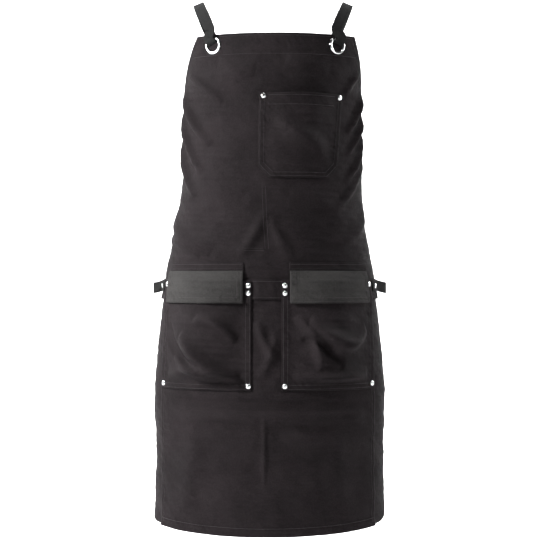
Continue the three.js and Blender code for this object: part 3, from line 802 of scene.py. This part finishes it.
@dataclass
class ChestPocket(ClothPiece):
    """The patch pocket on the wearer's left, with cut-off lower corners."""

    middle: float = 0.056
    top_half: float = 0.076
    bottom_half: float = 0.071
    top: float = -0.169
    bottom: float = -0.314
    corner: float = 0.020
    bulge: float = 0.009
    mouth_hem: float = 0.009

    def half_at(self, z: Array) -> Array:
        """Half the pocket's width at each height."""
        return mix(self.bottom_half, self.top_half, (z - self.bottom) / (self.top - self.bottom))

    def place(self, u: Array, v: Array) -> Places:
        """The pocket's cut, with its bottom edge rising at the corners."""
        s = self.middle + (2 * u - 1) * mix(self.bottom_half, self.top_half, v)
        past = np.maximum(0.0, np.abs(s - self.middle) - (self.bottom_half - self.corner))
        return s, mix(self.bottom + past, self.top, v)

    def offset(self, s: Array, z: Array) -> Array:
        """Sewn flat at three sides and slack between them."""
        across = np.clip((s - self.middle) / (2 * self.half_at(z)) + 0.5, 0.0, 1.0)
        up = np.clip((z - self.bottom) / (self.top - self.bottom), 0.0, 1.0)
        slack = slack_across(across) * np.sin(0.5 * math.pi * np.minimum(1.0, 1.6 * up))
        lift = self.bulge * slack
        for fold in CHEST_POCKET_FOLDS:
            lift = lift + fold.field(s, z) * np.clip(slack * 1.6, 0.0, 1.0)
        return DRAPE.field(s, z) + FIRST_LAYER + np.maximum(lift, 0.0)

    def hem_distance(self, s: Array, z: Array) -> Array:
        """Turned on the sides, the cut corners, the bottom and the mouth."""
        past = np.maximum(0.0, np.abs(s - self.middle) - (self.bottom_half - self.corner))
        side = self.half_at(z) - np.abs(s - self.middle)
        return np.minimum(np.minimum(side, z - self.bottom - past), self.top - z - self.mouth_hem)

    def stitch_paths(self) -> list[Array]:
        """A double row round three sides and a row under the mouth."""
        paths = []
        start = self.top - 0.004
        for inset in (0.0028, 0.0088):
            half_low = self.bottom_half - inset
            corner = self.corner - 0.4 * inset
            low = self.bottom + inset
            half = ((self.top_half - inset, start), (half_low, low + corner), (half_low - corner, low))
            left = [(self.middle - x, z) for x, z in half]
            right = [(self.middle + x, z) for x, z in reversed(half)]
            paths.append(line(*left, *right))
        for drop in (0.004, 0.020):
            z = self.top - drop
            paths.append(line((self.middle - 0.060, z), (self.middle + 0.060, z)))
        return paths


# ---------------------------------------------------------------- waist and skirt


@dataclass
class Waistband(ClothPiece):
    """The strip over the seam between bib and skirt."""

    top: float = -0.490
    bottom: float = -0.524

    def place(self, u: Array, v: Array) -> Places:
        """A strip just short of the apron's edges."""
        z = mix(self.bottom, self.top, v)
        return (2 * u - 1) * (edge_at(z) - 0.005), z

    def offset(self, s: Array, z: Array) -> Array:
        """On top of the bib and the skirt."""
        return DRAPE.field(s, z) + FIRST_LAYER

    def hem_distance(self, s: Array, z: Array) -> Array:
        """Turned along both long edges."""
        return np.minimum(self.top - z, z - self.bottom)

    def stitch_paths(self) -> list[Array]:
        """A row beside each long edge."""
        return [line((-0.228, z), (0.228, z)) for z in (self.top - 0.003, self.bottom + 0.003)]


@dataclass
class SkirtPanel(ClothPiece):
    """The front of the skirt, between its two side seams."""

    half: float = 0.207
    corner_rise: float = 0.009
    hem_row: float = 0.0145

    def hem_at(self, s: Array) -> Array:
        """Height of the hem, a little higher at its corners."""
        return HEM + self.corner_rise * (s / self.half) ** 2

    def place(self, u: Array, v: Array) -> Places:
        """The front panel, from its hem up to the waist seam."""
        s = (2 * u - 1) * self.half
        return s, mix(self.hem_at(s), WAIST_SEAM - SEAM_HALF_GAP, v)

    def hem_distance(self, s: Array, z: Array) -> Array:
        """Turned at the hem and at the side seams."""
        return np.minimum(self.half - np.abs(s), z - self.hem_at(s) - 0.006)

    def stitch_paths(self) -> list[Array]:
        """Double rows at the side seams and one at the hem."""
        paths = []
        for _, sign in SIDES:
            for inset in (0.003, 0.009):
                seam = sign * (self.half - inset)
                paths.append(line((seam, -0.530), (seam, HEM + 0.012)))
        s = np.linspace(-self.half + 0.004, self.half - 0.004, 110)
        return [*paths, np.stack([s, self.hem_at(s) + self.hem_row], axis=1)]


@dataclass
class SidePanel(ClothPiece):
    """The wing behind the skirt's side seam, with a rounded lower rear corner."""

    sign: int = 1
    rear: float = 0.286
    tuck: float = 0.014
    hem_lift: float = 0.012
    corner_radius: float = 0.070

    def hem_at(self, s: Array) -> Array:
        """Height of the wing's hem."""
        radius = self.corner_radius
        past = np.clip(s - (self.rear - radius), 0.0, radius)
        return HEM + self.hem_lift + radius - np.sqrt(radius**2 - past**2)

    def place(self, u: Array, v: Array) -> Places:
        """From behind the side seam to the apron's rear edge."""
        outward = u if self.sign > 0 else 1 - u
        start = SkirtPanel.half - self.tuck
        hem = self.hem_at(mix(start, self.rear, outward))
        z = mix(hem, WAIST_SEAM - SEAM_HALF_GAP, v)
        return self.sign * mix(start, edge_at(z), outward), z

    def offset(self, s: Array, z: Array) -> Array:
        """Behind the skirt panel."""
        return DRAPE.field(s, z) - 0.0010 - CLOTH

    def hem_distance(self, s: Array, z: Array) -> Array:
        """Turned at the rear edge and the hem."""
        distance = np.abs(s)
        return np.minimum(edge_at(z) - distance, z - self.hem_at(distance) - 0.003)

    def stitch_paths(self) -> list[Array]:
        """A row beside the rear edge."""
        return [edge_line(inset, -0.530, HEM + 0.085, self.sign) for inset in (0.0035, 0.0095)]


# ---------------------------------------------------------------- hip pockets and flaps


def slack_across(across: Array) -> Array:
    """Share of a pocket's slack at a place across it: none along its sewn sides."""
    inside = np.clip((across - 0.08) / 0.84, 0.0, 1.0)
    return np.sin(math.pi * inside) ** 1.5


@dataclass
class SidedPiece(ClothPiece):
    """A rectangle of cloth on one side of the middle line."""

    sign: int = 1
    near: float = 0.0
    far: float = 0.0
    top: float = 0.0
    bottom: float = 0.0

    def place(self, u: Array, v: Array) -> Places:
        """Across from the edge nearer the middle line, and up."""
        outward = u if self.sign > 0 else 1 - u
        return self.sign * mix(self.near, self.far, outward), mix(self.bottom, self.top, v)

    def side_distance(self, s: Array) -> Array:
        """Distance in from the nearer of the two upright edges."""
        distance = np.abs(s)
        return np.minimum(distance - self.near, self.far - distance)

    def three_sided_rows(self, insets: tuple[float, float], drop: float) -> list[Array]:
        """Rows of stitching down one side, along the bottom and up the other.

        Args:
            insets: How far in from the edge each row lies.
            drop: How far below the top edge the rows start.

        Returns:
            One line for each row.
        """
        start = self.top - drop
        paths = []
        for inset in insets:
            near, far = self.sign * (self.near + inset), self.sign * (self.far - inset)
            low = self.bottom + inset
            paths.append(line((near, start), (near, low), (far, low), (far, start)))
        return paths


@dataclass
class HipPocket(SidedPiece):
    """A big patch pocket that sags open at the mouth and rolls over its bottom seam."""

    near: float = 0.026
    far: float = 0.204
    top: float = -0.492
    bottom: float = -0.680
    mouth_hem: float = 0.010
    mouth_row: float = 0.019
    gape: float = 0.007
    sag: float = 0.015
    folds: tuple[Fold, ...] = ()

    def shares(self, s: Array, z: Array) -> Places:
        """How far across and up the pocket each place is, from 0 to 1."""
        across = (np.abs(s) - self.near) / (self.far - self.near)
        return across, np.clip((z - self.bottom) / (self.top - self.bottom), 0.0, 1.0)

    def belly(self, s: Array, z: Array) -> Array:
        """How far the slack cloth stands out, before its folds."""
        across, v = self.shares(s, z)
        sag = self.sag * np.sin(math.pi * v) ** 0.8 * (1.0 - v**4)
        over = smooth(Waistband.bottom - 0.018, Waistband.bottom, z)
        return mix(FIRST_LAYER, SECOND_LAYER, over) + (self.gape * v**2 + sag) * slack_across(across)

    def offset(self, s: Array, z: Array) -> Array:
        """The belly with its folds, flat where it is sewn."""
        across, v = self.shares(s, z)
        across = np.clip(across, 0.0, 1.0)
        free = smooth(0.04, 0.16, across) * smooth(0.04, 0.16, 1.0 - across) * smooth(0.03, 0.12, v)
        free = free * smooth(-0.15, 0.1, 0.84 - v)
        lift = 0.0012 * crumple(s, z, 0.060)
        for fold in self.folds:
            lift = lift + fold.field(s, z)
        base = self.belly(s, z)
        room = base - FIRST_LAYER
        return DRAPE.field(s, z) + base + np.maximum(free * lift, -0.7 * room)

    def hem_distance(self, s: Array, z: Array) -> Array:
        """Turned on all four sides, with a deeper hem at the mouth."""
        side = self.side_distance(s)
        return np.minimum(np.minimum(side, z - self.bottom), self.top - z - self.mouth_hem)

    def stitch_paths(self) -> list[Array]:
        """A double row round three sides and one under the mouth."""
        z = self.top - self.mouth_row
        mouth = line((self.sign * 0.040, z), (self.sign * 0.188, z))
        return [*self.three_sided_rows((0.0028, 0.0098), 0.003), mouth]


@dataclass
class FlapBand(SidedPiece):
    """The strip that a pocket flap is sewn on with."""

    near: float = 0.039
    far: float = 0.191
    top: float = -0.461
    bottom: float = -0.4745

    def offset(self, s: Array, z: Array) -> Array:
        """On top of the bib."""
        return DRAPE.field(s, z) + FIRST_LAYER

    def stitch_paths(self) -> list[Array]:
        """A row beside each long edge."""
        rows = (self.top - 0.0028, self.bottom + 0.0028)
        return [line((self.sign * 0.042, z), (self.sign * 0.188, z)) for z in rows]


@dataclass
class Flap(SidedPiece):
    """A pocket flap that hangs from its sewn top edge over the pocket's mouth."""

    near: float = 0.040
    far: float = 0.189
    top: float = -0.475
    bottom: float = -0.530
    bend: float = 0.016
    clearance: float = 0.0020
    pocket: HipPocket | None = None

    def offset(self, s: Array, z: Array) -> Array:
        """Clear of the pocket's mouth below the fold."""
        dropped = np.clip((self.top - z) / (self.top - HipPocket.top), 0.0, 1.0)
        clear = self.pocket.belly(s, np.minimum(z, HipPocket.top)) + CLOTH + self.clearance
        drape = DRAPE.field(s, z) * mix(0.4, 1.0, dropped)
        return mix(SECOND_LAYER, clear, dropped) + drape + 0.0006 * dropped

    def hem_distance(self, s: Array, z: Array) -> Array:
        """Turned on all four sides."""
        return np.minimum(self.side_distance(s), z - self.bottom)

    def fasten(self, piece: bpy.types.Object) -> None:
        """Bakes the piece's placement into its points; the piece is not fastened to a body."""
        middle = np.array(self.sign * 0.5 * (self.near + self.far))
        (x, y, z), _ = FORM.place(middle, np.array(self.top), SECOND_LAYER)
        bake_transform(piece)

    def stitch_paths(self) -> list[Array]:
        """A double row round the three free sides."""
        return self.three_sided_rows((0.0028, 0.0090), 0.002)


# ---------------------------------------------------------------- hardware


def seat(s: float, z: float, offset: float) -> Matrix:
    """A place on the cloth as a matrix whose Z points outwards."""
    point, out = FORM.place(np.array(s), np.array(z), offset)
    matrix = Matrix.Identity(4)
    for row in range(3):
        matrix[row][2] = out[row]
        matrix[row][3] = point[row]
    matrix[0][0], matrix[1][0] = -out[1], out[0]
    matrix[1][1], matrix[2][1] = 0.0, 1.0
    return matrix


def lathe_object(
    name: str, profile: list[tuple[float, float]], sides: int, matrix: Matrix
) -> bpy.types.Object:
    """A turned metal piece about its own Z, from a profile of radius and height.

    Args:
        name: The object's name.
        profile: A closed ring of radius and height, or one that starts and ends on the axis.
        sides: Steps round the axis.
        matrix: Where it sits.

    Returns:
        The object.
    """
    outline = np.array(profile)
    turn = np.linspace(0.0, 2.0 * math.pi, sides, endpoint=False)
    points = np.stack([
        outline[None, :, 0] * np.cos(turn)[:, None],
        outline[None, :, 0] * np.sin(turn)[:, None],
        np.broadcast_to(outline[None, :, 1], (sides, len(outline))),
    ], axis=-1)
    count = len(outline)
    number = np.arange(sides * count).reshape(sides, count)
    following = np.roll(number, -1, axis=0)
    closed = outline[0, 0] > 0.0
    steps = range(count) if closed else range(count - 1)
    faces = []
    for k in steps:
        other = (k + 1) % count
        for j in range(sides):
            quad = [number[j, k], following[j, k], following[j, other], number[j, other]]
            if outline[k, 0] == 0.0:
                quad = [number[0, k], following[j, other], number[j, other]]
            elif outline[other, 0] == 0.0:
                quad = [number[j, k], following[j, k], number[0, other]]
            faces.append([int(corner) for corner in quad])
    flat = points.reshape(-1, 3)
    world = np.array(matrix)
    placed = flat @ world[:3, :3].T + world[:3, 3]
    piece = make_object(name, placed, faces, flat[:, :2], Finish.NICKEL, "apron")
    clean_mesh(piece)
    return piece


def clean_mesh(piece: bpy.types.Object) -> None:
    """Drops loose points and turns every face outwards."""
    work = bmesh.new()
    work.from_mesh(piece.data)
    loose = [vertex for vertex in work.verts if not vertex.link_faces]
    bmesh.ops.delete(work, geom=loose, context="VERTS")
    bmesh.ops.recalc_face_normals(work, faces=work.faces)
    work.to_mesh(piece.data)
    work.free()


@dataclass(frozen=True)
class Rivet:
    """A domed rivet front with a turned rim, and its ring behind the cloth."""

    place: RivetPlace
    head: float = 0.0045
    rise: float = 0.0017
    post: float = 0.0014

    def build(self) -> None:
        """Both halves, standing for their CAD nodes."""
        place = self.place
        top = place.outer + 0.0004
        base = place.inner - 0.0013
        end = base - 0.0009 - top
        cap = 0.72 * self.head / math.cos(math.radians(12))
        dome = [(0.0, self.rise)]
        for k in range(1, 7):
            angle = math.radians(90 - 13 * k)
            dome.append((cap * math.cos(angle), mix(0.30, 1.0, math.sin(angle)) * self.rise))
        for across, up in ((0.80, 0.34), (0.90, 0.42), (0.98, 0.26), (1.0, 0.10), (0.97, 0.0)):
            dome.append((across * self.head, up * self.rise))
        dome += [(self.post, 0.0), (self.post, end), (0.0, end)]
        front = lathe_object(f"rivet_{place.name}_front", dome, 32, seat(place.s, place.z, top))
        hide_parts(f"rivet_{place.name}")
        bore = self.post + 0.00025
        ring = [
            (bore, 0.0),
            (0.0034, 0.0),
            (0.0036, -0.0002),
            (0.0035, -0.0007),
            (0.0030, -0.0009),
            (bore, -0.0009),
        ]
        back = lathe_object(f"rivet_{place.name}_ring", ring, 28, seat(place.s, place.z, base))
        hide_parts(f"rivet_back_{place.name}")


@dataclass(frozen=True)
class Eyelet:
    """A large rolled eyelet set through the bib's doubled top edge, and its washer."""

    side: str
    sign: int
    hole: float = 0.0110
    rim: float = 0.0155

    def build(self) -> None:
        """Both halves, standing for their CAD nodes."""
        place = seat(self.sign * EYELET_S, EYELET_Z, 0.0)
        low = -0.0054
        roll = []
        centre, half = 0.5 * (self.hole + self.rim), 0.5 * (self.rim - self.hole)
        for k in range(11):
            angle = math.pi * k / 10
            roll.append((centre + half * math.cos(angle), FIRST_LAYER + 0.0014 * math.sin(angle)))
        profile = [(self.hole + 0.0009, low), (self.hole + 0.0009, FIRST_LAYER), *roll, (self.hole, low)]
        front = lathe_object(f"{self.side}_eyelet_metal", profile, 64, place)
        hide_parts(f"{self.side}_eyelet")
        bore = 0.0122
        ring = [
            (bore, -0.0052),
            (self.rim - 0.0004, -0.0052),
            (self.rim, -0.0048),
            (self.rim, -0.0044),
            (self.rim - 0.0003, -0.0042),
            (bore, -0.0042),
        ]
        back = lathe_object(f"{self.side}_eyelet_ring", ring, 64, place)
        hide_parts(f"{self.side}_eyelet_washer")


# ---------------------------------------------------------------- straps


class SmoothCurve:
    """A centripetal curve through points, numbered by their order."""

    def __init__(self, points: list[Array]) -> None:
        first, last = 2 * points[0] - points[1], 2 * points[-1] - points[-2]
        self.points = [first, *points, last]

    def at(self, share: float) -> Array:
        """The point a share of the way along the curve's own numbering."""
        spans = len(self.points) - 3
        where = min(share * spans, spans - 1e-9)
        i = int(where)
        t = where - i
        a, b, c, d = self.points[i:i + 4]
        middle = float(np.dot(c - b, c - b)) ** 0.25
        middle = middle if middle > 1e-4 else 1.0
        before = float(np.dot(b - a, b - a)) ** 0.25
        after = float(np.dot(d - c, d - c)) ** 0.25
        before = before if before > 1e-4 else middle
        after = after if after > 1e-4 else middle
        slope_b = ((b - a) / before - (c - a) / (before + middle) + (c - b) / middle) * middle
        slope_c = ((c - b) / middle - (d - b) / (middle + after) + (d - c) / after) * middle
        return (
            b * (2 * t**3 - 3 * t**2 + 1)
            + slope_b * (t**3 - 2 * t**2 + t)
            + c * (3 * t**2 - 2 * t**3)
            + slope_c * (t**3 - t**2)
        )


def unit(vector: Array) -> Array:
    """The vector's direction."""
    return vector / np.linalg.norm(vector)


def ribbon_object(
    name: str,
    points: Array,
    outs: Array,
    width: float,
    thickness: float,
    body: str,
) -> bpy.types.Object:
    """A woven band with rounded edges along a route on its inner face.

    Args:
        name: The object's name.
        points: Stations on the inner face.
        outs: The outward side at each station.
        width: The band's width.
        thickness: The band's thickness.
        body: The body that it moves with.

    Returns:
        The object.
    """
    along = np.gradient(points, axis=0)
    along /= np.linalg.norm(along, axis=1, keepdims=True)
    across = np.cross(along, outs)
    across /= np.linalg.norm(across, axis=1, keepdims=True)
    outward = np.cross(across, along)
    half, radius = 0.5 * width, 0.5 * thickness
    flat = half - radius
    section = []
    for side, low in ((1, 0.0), (-1, thickness)):
        section += [(x, low) for x in np.linspace(-side * flat, side * flat, 9)]
        for angle in (0.8, 1.57, 2.34):
            x = side * (flat + radius * math.sin(angle))
            section.append((x, radius - side * radius * math.cos(angle)))
    section = np.array(section)
    reach = np.concatenate([[0.0], np.cumsum(np.linalg.norm(np.diff(points, axis=0), axis=1))])
    rings = (
        points[:, None, :]
        + section[None, :, :1] * across[:, None, :]
        + section[None, :, 1:] * outward[:, None, :]
    )
    count, sides = len(points), len(section)
    number = np.arange(count * sides).reshape(count, sides)
    a, b = number[:-1], number[1:]
    quads = np.stack([a, np.roll(a, -1, axis=1), np.roll(b, -1, axis=1), b], axis=-1).reshape(-1, 4)
    faces = quads.tolist() + [number[0, ::-1].tolist(), number[-1].tolist()]
    uv = np.stack([
        np.broadcast_to(section[None, :, 0], (count, sides)),
        np.broadcast_to(reach[:, None], (count, sides)),
    ], axis=-1).reshape(-1, 2)
    piece = make_object(name, rings.reshape(-1, 3), faces, uv, Finish.WEBBING, body)
    clean_mesh(piece)
    return piece


@dataclass(frozen=True)
class Strap:
    """One webbing strap, from its tail behind the bib, through the eyelet and over to the waist."""

    side: str
    sign: int

    width: float = 0.020
    thickness: float = 0.0013
    layer_gap: float = 0.0004
    crest: float = 0.133
    centre: float = 0.006
    tilt: float = 0.415
    reach: float = 0.092
    drop: float = 0.070
    turn: float = 0.56
    lean: float = 0.45
    crossing_lift: float = 0.004
    line_from: tuple[float, float, float] = (0.090, 0.100, -0.095)
    line_to: tuple[float, float, float] = (0.014, 0.117, -0.205)
    line_side: tuple[float, float, float] = (0.2, 1.0, 0.1)

    def over_shoulder(self, degrees: float) -> Places:
        """The arch over the shoulder: 0 is in front at the bib and 90 degrees is the crest."""
        angle = math.radians(degrees)
        rise = 1 - math.sin(angle)
        point = np.array([
            self.centre + self.sign * (self.crest - self.tilt * self.drop * rise),
            -self.reach * math.cos(angle),
            -self.drop * rise,
        ])
        lean = self.tilt * math.sin(angle) + self.turn * abs(math.cos(angle))
        return point, unit(np.array([self.sign * lean, -math.cos(angle), math.sin(angle)]))

    def at_eyelet(self, along: float, out: float) -> tuple[Array, Array, Array]:
        """A point of the loop through the eyelet, with the cloth's outward side and the strap's line."""
        point, normal = FORM.place(np.array(self.sign * EYELET_S), np.array(EYELET_Z), 0.0)
        aside = self.sign * np.array([-normal[1], normal[0], 0.0])
        up = aside * math.sin(self.lean) + np.array([0.0, 0.0, math.cos(self.lean)])
        return point + up * along + normal * out, normal, up

    def on_back_line(self, t: float) -> Array:
        """A point of the straight stretch on the back."""
        lift = self.crossing_lift if self.sign > 0 else 0.0
        x, y, z = mix(np.array(self.line_from), np.array(self.line_to), t)
        return np.array([self.centre * (1 - t) + self.sign * x, y + lift * t, z])

    def route(self) -> list[Places]:
        """The strap's stations on its inner face, with their outward sides."""
        stations = []
        for degrees in (40, 30, 20):
            point, out = self.over_shoulder(degrees)
            stations.append((point - out * self.layer_gap, -out))
        loop_along, loop_out, radius = 0.008, -0.0012, 0.006
        for along in (0.020, 0.013):
            point, normal, _ = self.at_eyelet(along, loop_out - radius)
            stations.append((point, -normal))
        for degrees in range(180, 361, 30):
            turn = math.radians(degrees)
            along, out = loop_along + radius * math.sin(turn), loop_out + radius * math.cos(turn)
            point, normal, up = self.at_eyelet(along, out)
            stations.append((point, normal * math.cos(turn) + up * math.sin(turn)))
        point, normal, _ = self.at_eyelet(0.015, loop_out + radius)
        stations.append((point, normal))
        stations += [self.over_shoulder(degrees) for degrees in (10, 20, 30, 40, 55, 70)]
        for step in (-3, -1, 1, 3):
            point, out = self.over_shoulder(90)
            stations.append((point + np.array([0.0, step * 0.006, 0.0]), out))
        stations += [self.over_shoulder(degrees) for degrees in (110, 125, 140)]
        return stations + self.back_route()

    def back_route(self) -> list[Places]:
        """Down the back, past the crossing and round to the rivet on the other side of the waist."""
        mirror = np.array([self.sign, 1.0, 1.0])
        lift = self.crossing_lift if self.sign > 0 else 0.0
        stations = [(self.on_back_line(k / 4), mirror * np.array(self.line_side)) for k in range(5)]
        bend = (
            ((-0.010, 0.119 + lift, -0.238), (0.0, 1.0, 0.1)),
            ((-0.062, 0.110, -0.314), (-0.35, 1.0, 0.0)),
            ((-0.108, 0.091, -0.390), (-0.6, 0.85, 0.0)),
            ((-0.146, 0.069, -0.450), (-0.75, 0.7, 0.0)),
            ((-0.172, 0.051, -0.484), (-0.85, 0.5, 0.0)),
            ((-0.194, 0.029, -0.501), (-0.95, 0.35, 0.0)),
            ((-0.208, 0.003, -0.505), (-1.0, -0.1, 0.0)),
        )
        stations += [(mirror * np.array(at), mirror * np.array(out)) for at, out in bend]
        for distance, lifted in ((0.232, 0.0025), (0.225, 0.0004), (0.217, 0.0), (0.209, 0.0)):
            point, out = FORM.place(np.array(-self.sign * distance), np.array(-0.501), STRAP_SEAT + lifted)
            stations.append((point, unit(np.array([out[0], out[1], 0.1]))))
        return stations

    def build(self) -> None:
        """The strap, its slider and the returned end sewn round the slider's middle bar."""
        route = self.route()
        points = SmoothCurve([point for point, _ in route])
        sides = SmoothCurve([unit(out) for _, out in route])
        shares = np.linspace(0.0, 1.0, (len(route) - 1) * 8 + 1)
        centre = np.array([points.at(share) for share in shares])
        outs = np.array([unit(sides.at(share)) for share in shares])
        strap = ribbon_object(f"{self.side}_strap_webbing", centre, outs, self.width, self.thickness, "apron")
        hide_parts(f"{self.side}_shoulder_strap")
        self.build_slider()
        self.build_end()

    def slider_frame(self) -> Matrix:
        """The slider's place: X across the strap, Y along it and Z outwards."""
        along = unit(self.on_back_line(1.0) - self.on_back_line(0.0))
        across = unit(np.cross(along, np.array(self.line_side) * np.array([self.sign, 1.0, 1.0])))
        out = np.cross(across, along)
        matrix = Matrix.Identity(4)
        for row in range(3):
            matrix[row][0], matrix[row][1], matrix[row][2] = across[row], along[row], out[row]
            matrix[row][3] = self.on_back_line(0.45)[row]
        return matrix

    def build_slider(self) -> None:
        """A three-bar slider with rounded bars."""
        length, rail, bar, tall, drop = 0.024, 0.0025, 0.004, 0.0013, 0.0020
        inner = 0.5 * self.width + 0.0005
        low, high = -drop - tall, self.thickness + 0.0004 + tall
        span = 2 * (inner + rail)
        blocks = [((0.0, 0.0, low + 0.5 * tall), (span - 0.001, bar, tall))]
        for end in (-1, 1):
            blocks.append(((end * (inner + 0.5 * rail), 0.0, 0.5 * (low + high)), (rail, length, high - low)))
            blocks.append(((0.0, end * 0.5 * (length - bar), high - 0.5 * tall), (span - 0.001, bar, tall)))
        work = bmesh.new()
        for centre, size in blocks:
            made = bmesh.ops.create_cube(work, size=1.0)
            bmesh.ops.scale(work, vec=size, verts=made["verts"])
            bmesh.ops.translate(work, vec=centre, verts=made["verts"])
        bmesh.ops.bevel(work, geom=work.edges[:], offset=0.0005, segments=3, affect="EDGES", profile=0.6)
        bmesh.ops.transform(work, matrix=self.slider_frame(), verts=work.verts)
        mesh = bpy.data.meshes.new(f"{self.side}_slider_metal")
        work.to_mesh(mesh)
        work.free()
        mesh.materials.append(Finish.NICKEL.material())
        mesh.shade_smooth()
        slider = add_object(f"{self.side}_slider_metal", mesh)
        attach(slider, f"{self.side}_slider")
        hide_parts(f"{self.side}_slider")

    def build_end(self) -> None:
        """The webbing's returned end, a short loop round the slider's middle bar."""
        middle, radius, turn_at = -0.0020 - 0.00065, 0.0010, 0.0020
        stations = [((y, middle + radius), (0.0, 1.0)) for y in (-0.026, -0.019, -0.012, turn_at - 0.001)]
        for degrees in range(75, -76, -15):
            turn = math.radians(degrees)
            side = (math.cos(turn), math.sin(turn))
            stations.append(((turn_at + radius * side[0], middle + radius * side[1]), side))
        stations += [((y, middle - radius), (0.0, -1.0)) for y in (turn_at - 0.001, -0.012, -0.019, -0.026)]
        world = np.array(self.slider_frame())
        points = np.array([[0.0, y, z] for (y, z), _ in stations]) @ world[:3, :3].T + world[:3, 3]
        outs = np.array([[0.0, y, z] for _, (y, z) in stations]) @ world[:3, :3].T
        loop = ribbon_object(f"{self.side}_strap_loop", points, outs, 0.019, 0.0011, f"{self.side}_slider")
        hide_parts(f"{self.side}_strap_end")


# ---------------------------------------------------------------- the studio


@dataclass(frozen=True)
class Softbox:
    """One large soft lamp aimed at a point."""

    name: str
    place: tuple[float, float, float]
    size: float
    power: float
    aim: tuple[float, float, float] = (0.0, 0.0, -0.48)

    def build(self) -> None:
        """Hangs the lamp."""
        lamp = bpy.data.lights.new(self.name, "AREA")
        lamp.size = self.size
        lamp.energy = self.power
        holder = add_object(self.name, lamp)
        holder.location = self.place
        direction = Vector(self.aim) - Vector(self.place)
        holder.rotation_euler = direction.to_track_quat("-Z", "Y").to_euler()


@dataclass(frozen=True)
class Studio:
    """A pale sweep, soft lamps and the camera."""

    floor: float = -1.30
    back: float = 2.6
    air_light: float = 0.09
    backdrop: float = 0.85

    def build(self) -> None:
        """Sets up everything round the apron."""
        self.build_sweep()
        for softbox in (
            Softbox("key", (-2.0, -1.0, 0.6), 0.5, 260.0),
            Softbox("fill", (1.9, -2.0, -0.6), 1.0, 9.0),
            Softbox("left edge", (-1.7, 0.3, 0.1), 0.9, 12.0),
            Softbox("right edge", (1.7, 0.1, 0.2), 0.9, 20.0),
            Softbox("top", (0.3, -1.0, 1.5), 0.5, 14.0),
            Softbox("backdrop left", (-2.0, 0.9, 0.9), 1.4, 120.0, (-0.6, 2.6, -0.4)),
            Softbox("backdrop right", (2.0, 0.9, 0.9), 1.4, 120.0, (0.6, 2.6, -0.4)),
        ):
            softbox.build()
        world = bpy.data.worlds.new("Studio air")
        world.use_nodes = True
        wire = NodeTree(world.node_tree)
        air = world.node_tree.nodes["Background"]
        seen = wire.add("ShaderNodeLightPath")
        strength = wire.maths("MULTIPLY_ADD", seen.outputs["Is Camera Ray"], self.backdrop, self.air_light)
        wire.join(strength, air.inputs["Strength"])
        air.inputs["Color"].default_value = (1.0, 1.0, 1.0, 1.0)
        bpy.context.scene.world = world
        bpy.context.scene.view_settings.view_transform = "Standard"
        self.place_camera()

    def build_sweep(self) -> None:
        """A floor that curves up into a wall."""
        profile = [(-6.0, self.floor), (self.back - 1.0, self.floor)]
        for k in range(1, 13):
            angle = math.radians(90 * k / 12)
            profile.append((self.back - 1.0 + math.sin(angle), self.floor + 1.0 - math.cos(angle)))
        profile.append((self.back, 4.0))
        points = [(x, y, z) for y, z in profile for x in (-6.0, 6.0)]
        faces = [(2 * k, 2 * k + 1, 2 * k + 3, 2 * k + 2) for k in range(len(profile) - 1)]
        mesh = bpy.data.meshes.new("sweep")
        mesh.from_pydata(points, [], faces)
        mesh.shade_smooth()
        paper = bpy.data.materials.new("Pale paper")
        paper.use_nodes = True
        shader = paper.node_tree.nodes["Principled BSDF"]
        shader.inputs["Base Color"].default_value = (0.93, 0.93, 0.93, 1.0)
        shader.inputs["Roughness"].default_value = 0.9
        mesh.materials.append(paper)
        add_object("sweep", mesh)

    def place_camera(self) -> None:
        """Straight in front, level with the middle of the apron."""
        lens = bpy.data.cameras.new("front")
        lens.sensor_width = 36.0
        lens.lens = 95.9
        camera = add_object("front", lens)
        camera.location = (0.0094, -2.63, -0.482)
        camera.rotation_euler = (math.radians(90.0), 0.0, 0.0)
        bpy.context.scene.camera = camera


# ---------------------------------------------------------------- the apron


def build_cloth() -> None:
    """Every cut piece of cloth."""
    BibPanel("bib_panel", (0.492, 0.442), 0.188, columns=190, rows=170).build()
    BibFacing("bib_top_facing", (0.320, 0.039), columns=90, rows=14).build()
    ChestPocket("chest_pocket", (0.152, 0.145), columns=76, rows=72).build()
    Waistband("waistband", (0.480, 0.034), columns=200, rows=16).build()
    SkirtPanel("skirt_panel", (0.414, 0.423), columns=170, rows=170).build()
    folds = {1: LEFT_POCKET_FOLDS, -1: RIGHT_POCKET_FOLDS}
    for side, sign in SIDES:
        SidePanel(f"{side}_side_panel", (0.093, 0.411), columns=40, rows=150, sign=sign).build()
        pocket = HipPocket(
            f"{side}_hip_pocket", (0.178, 0.188), columns=110, rows=110, sign=sign, folds=folds[sign]
        )
        pocket.build()
        FlapBand(f"{side}_flap_band", (0.152, 0.0135), columns=80, rows=8, sign=sign).build()
        # The flap takes the lighter canvas, a painted highlight for the light on the flaps.
        Flap(
            f"{side}_flap", (0.149, 0.055), columns=100, rows=40, body=f"{side}_flap", thickness=0.0016,
            finish=Finish.FLAP_CANVAS, rests_on=(f"{side}_flap_band",), pocket=pocket, sign=sign,
        ).build()


def build_hardware() -> None:
    """Every rivet and eyelet."""
    for place in rivet_places():
        Rivet(place).build()
    for side, sign in SIDES:
        Eyelet(side, sign).build()


def main() -> None:
    """Builds the apron and the studio in order."""
    logging.basicConfig(level=logging.INFO, format="%(message)s")
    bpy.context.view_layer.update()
    build_cloth()
    build_hardware()
    for side, sign in SIDES:
        Strap(side, sign).build()
    Studio().build()


if __name__ == "__main__":
    main()
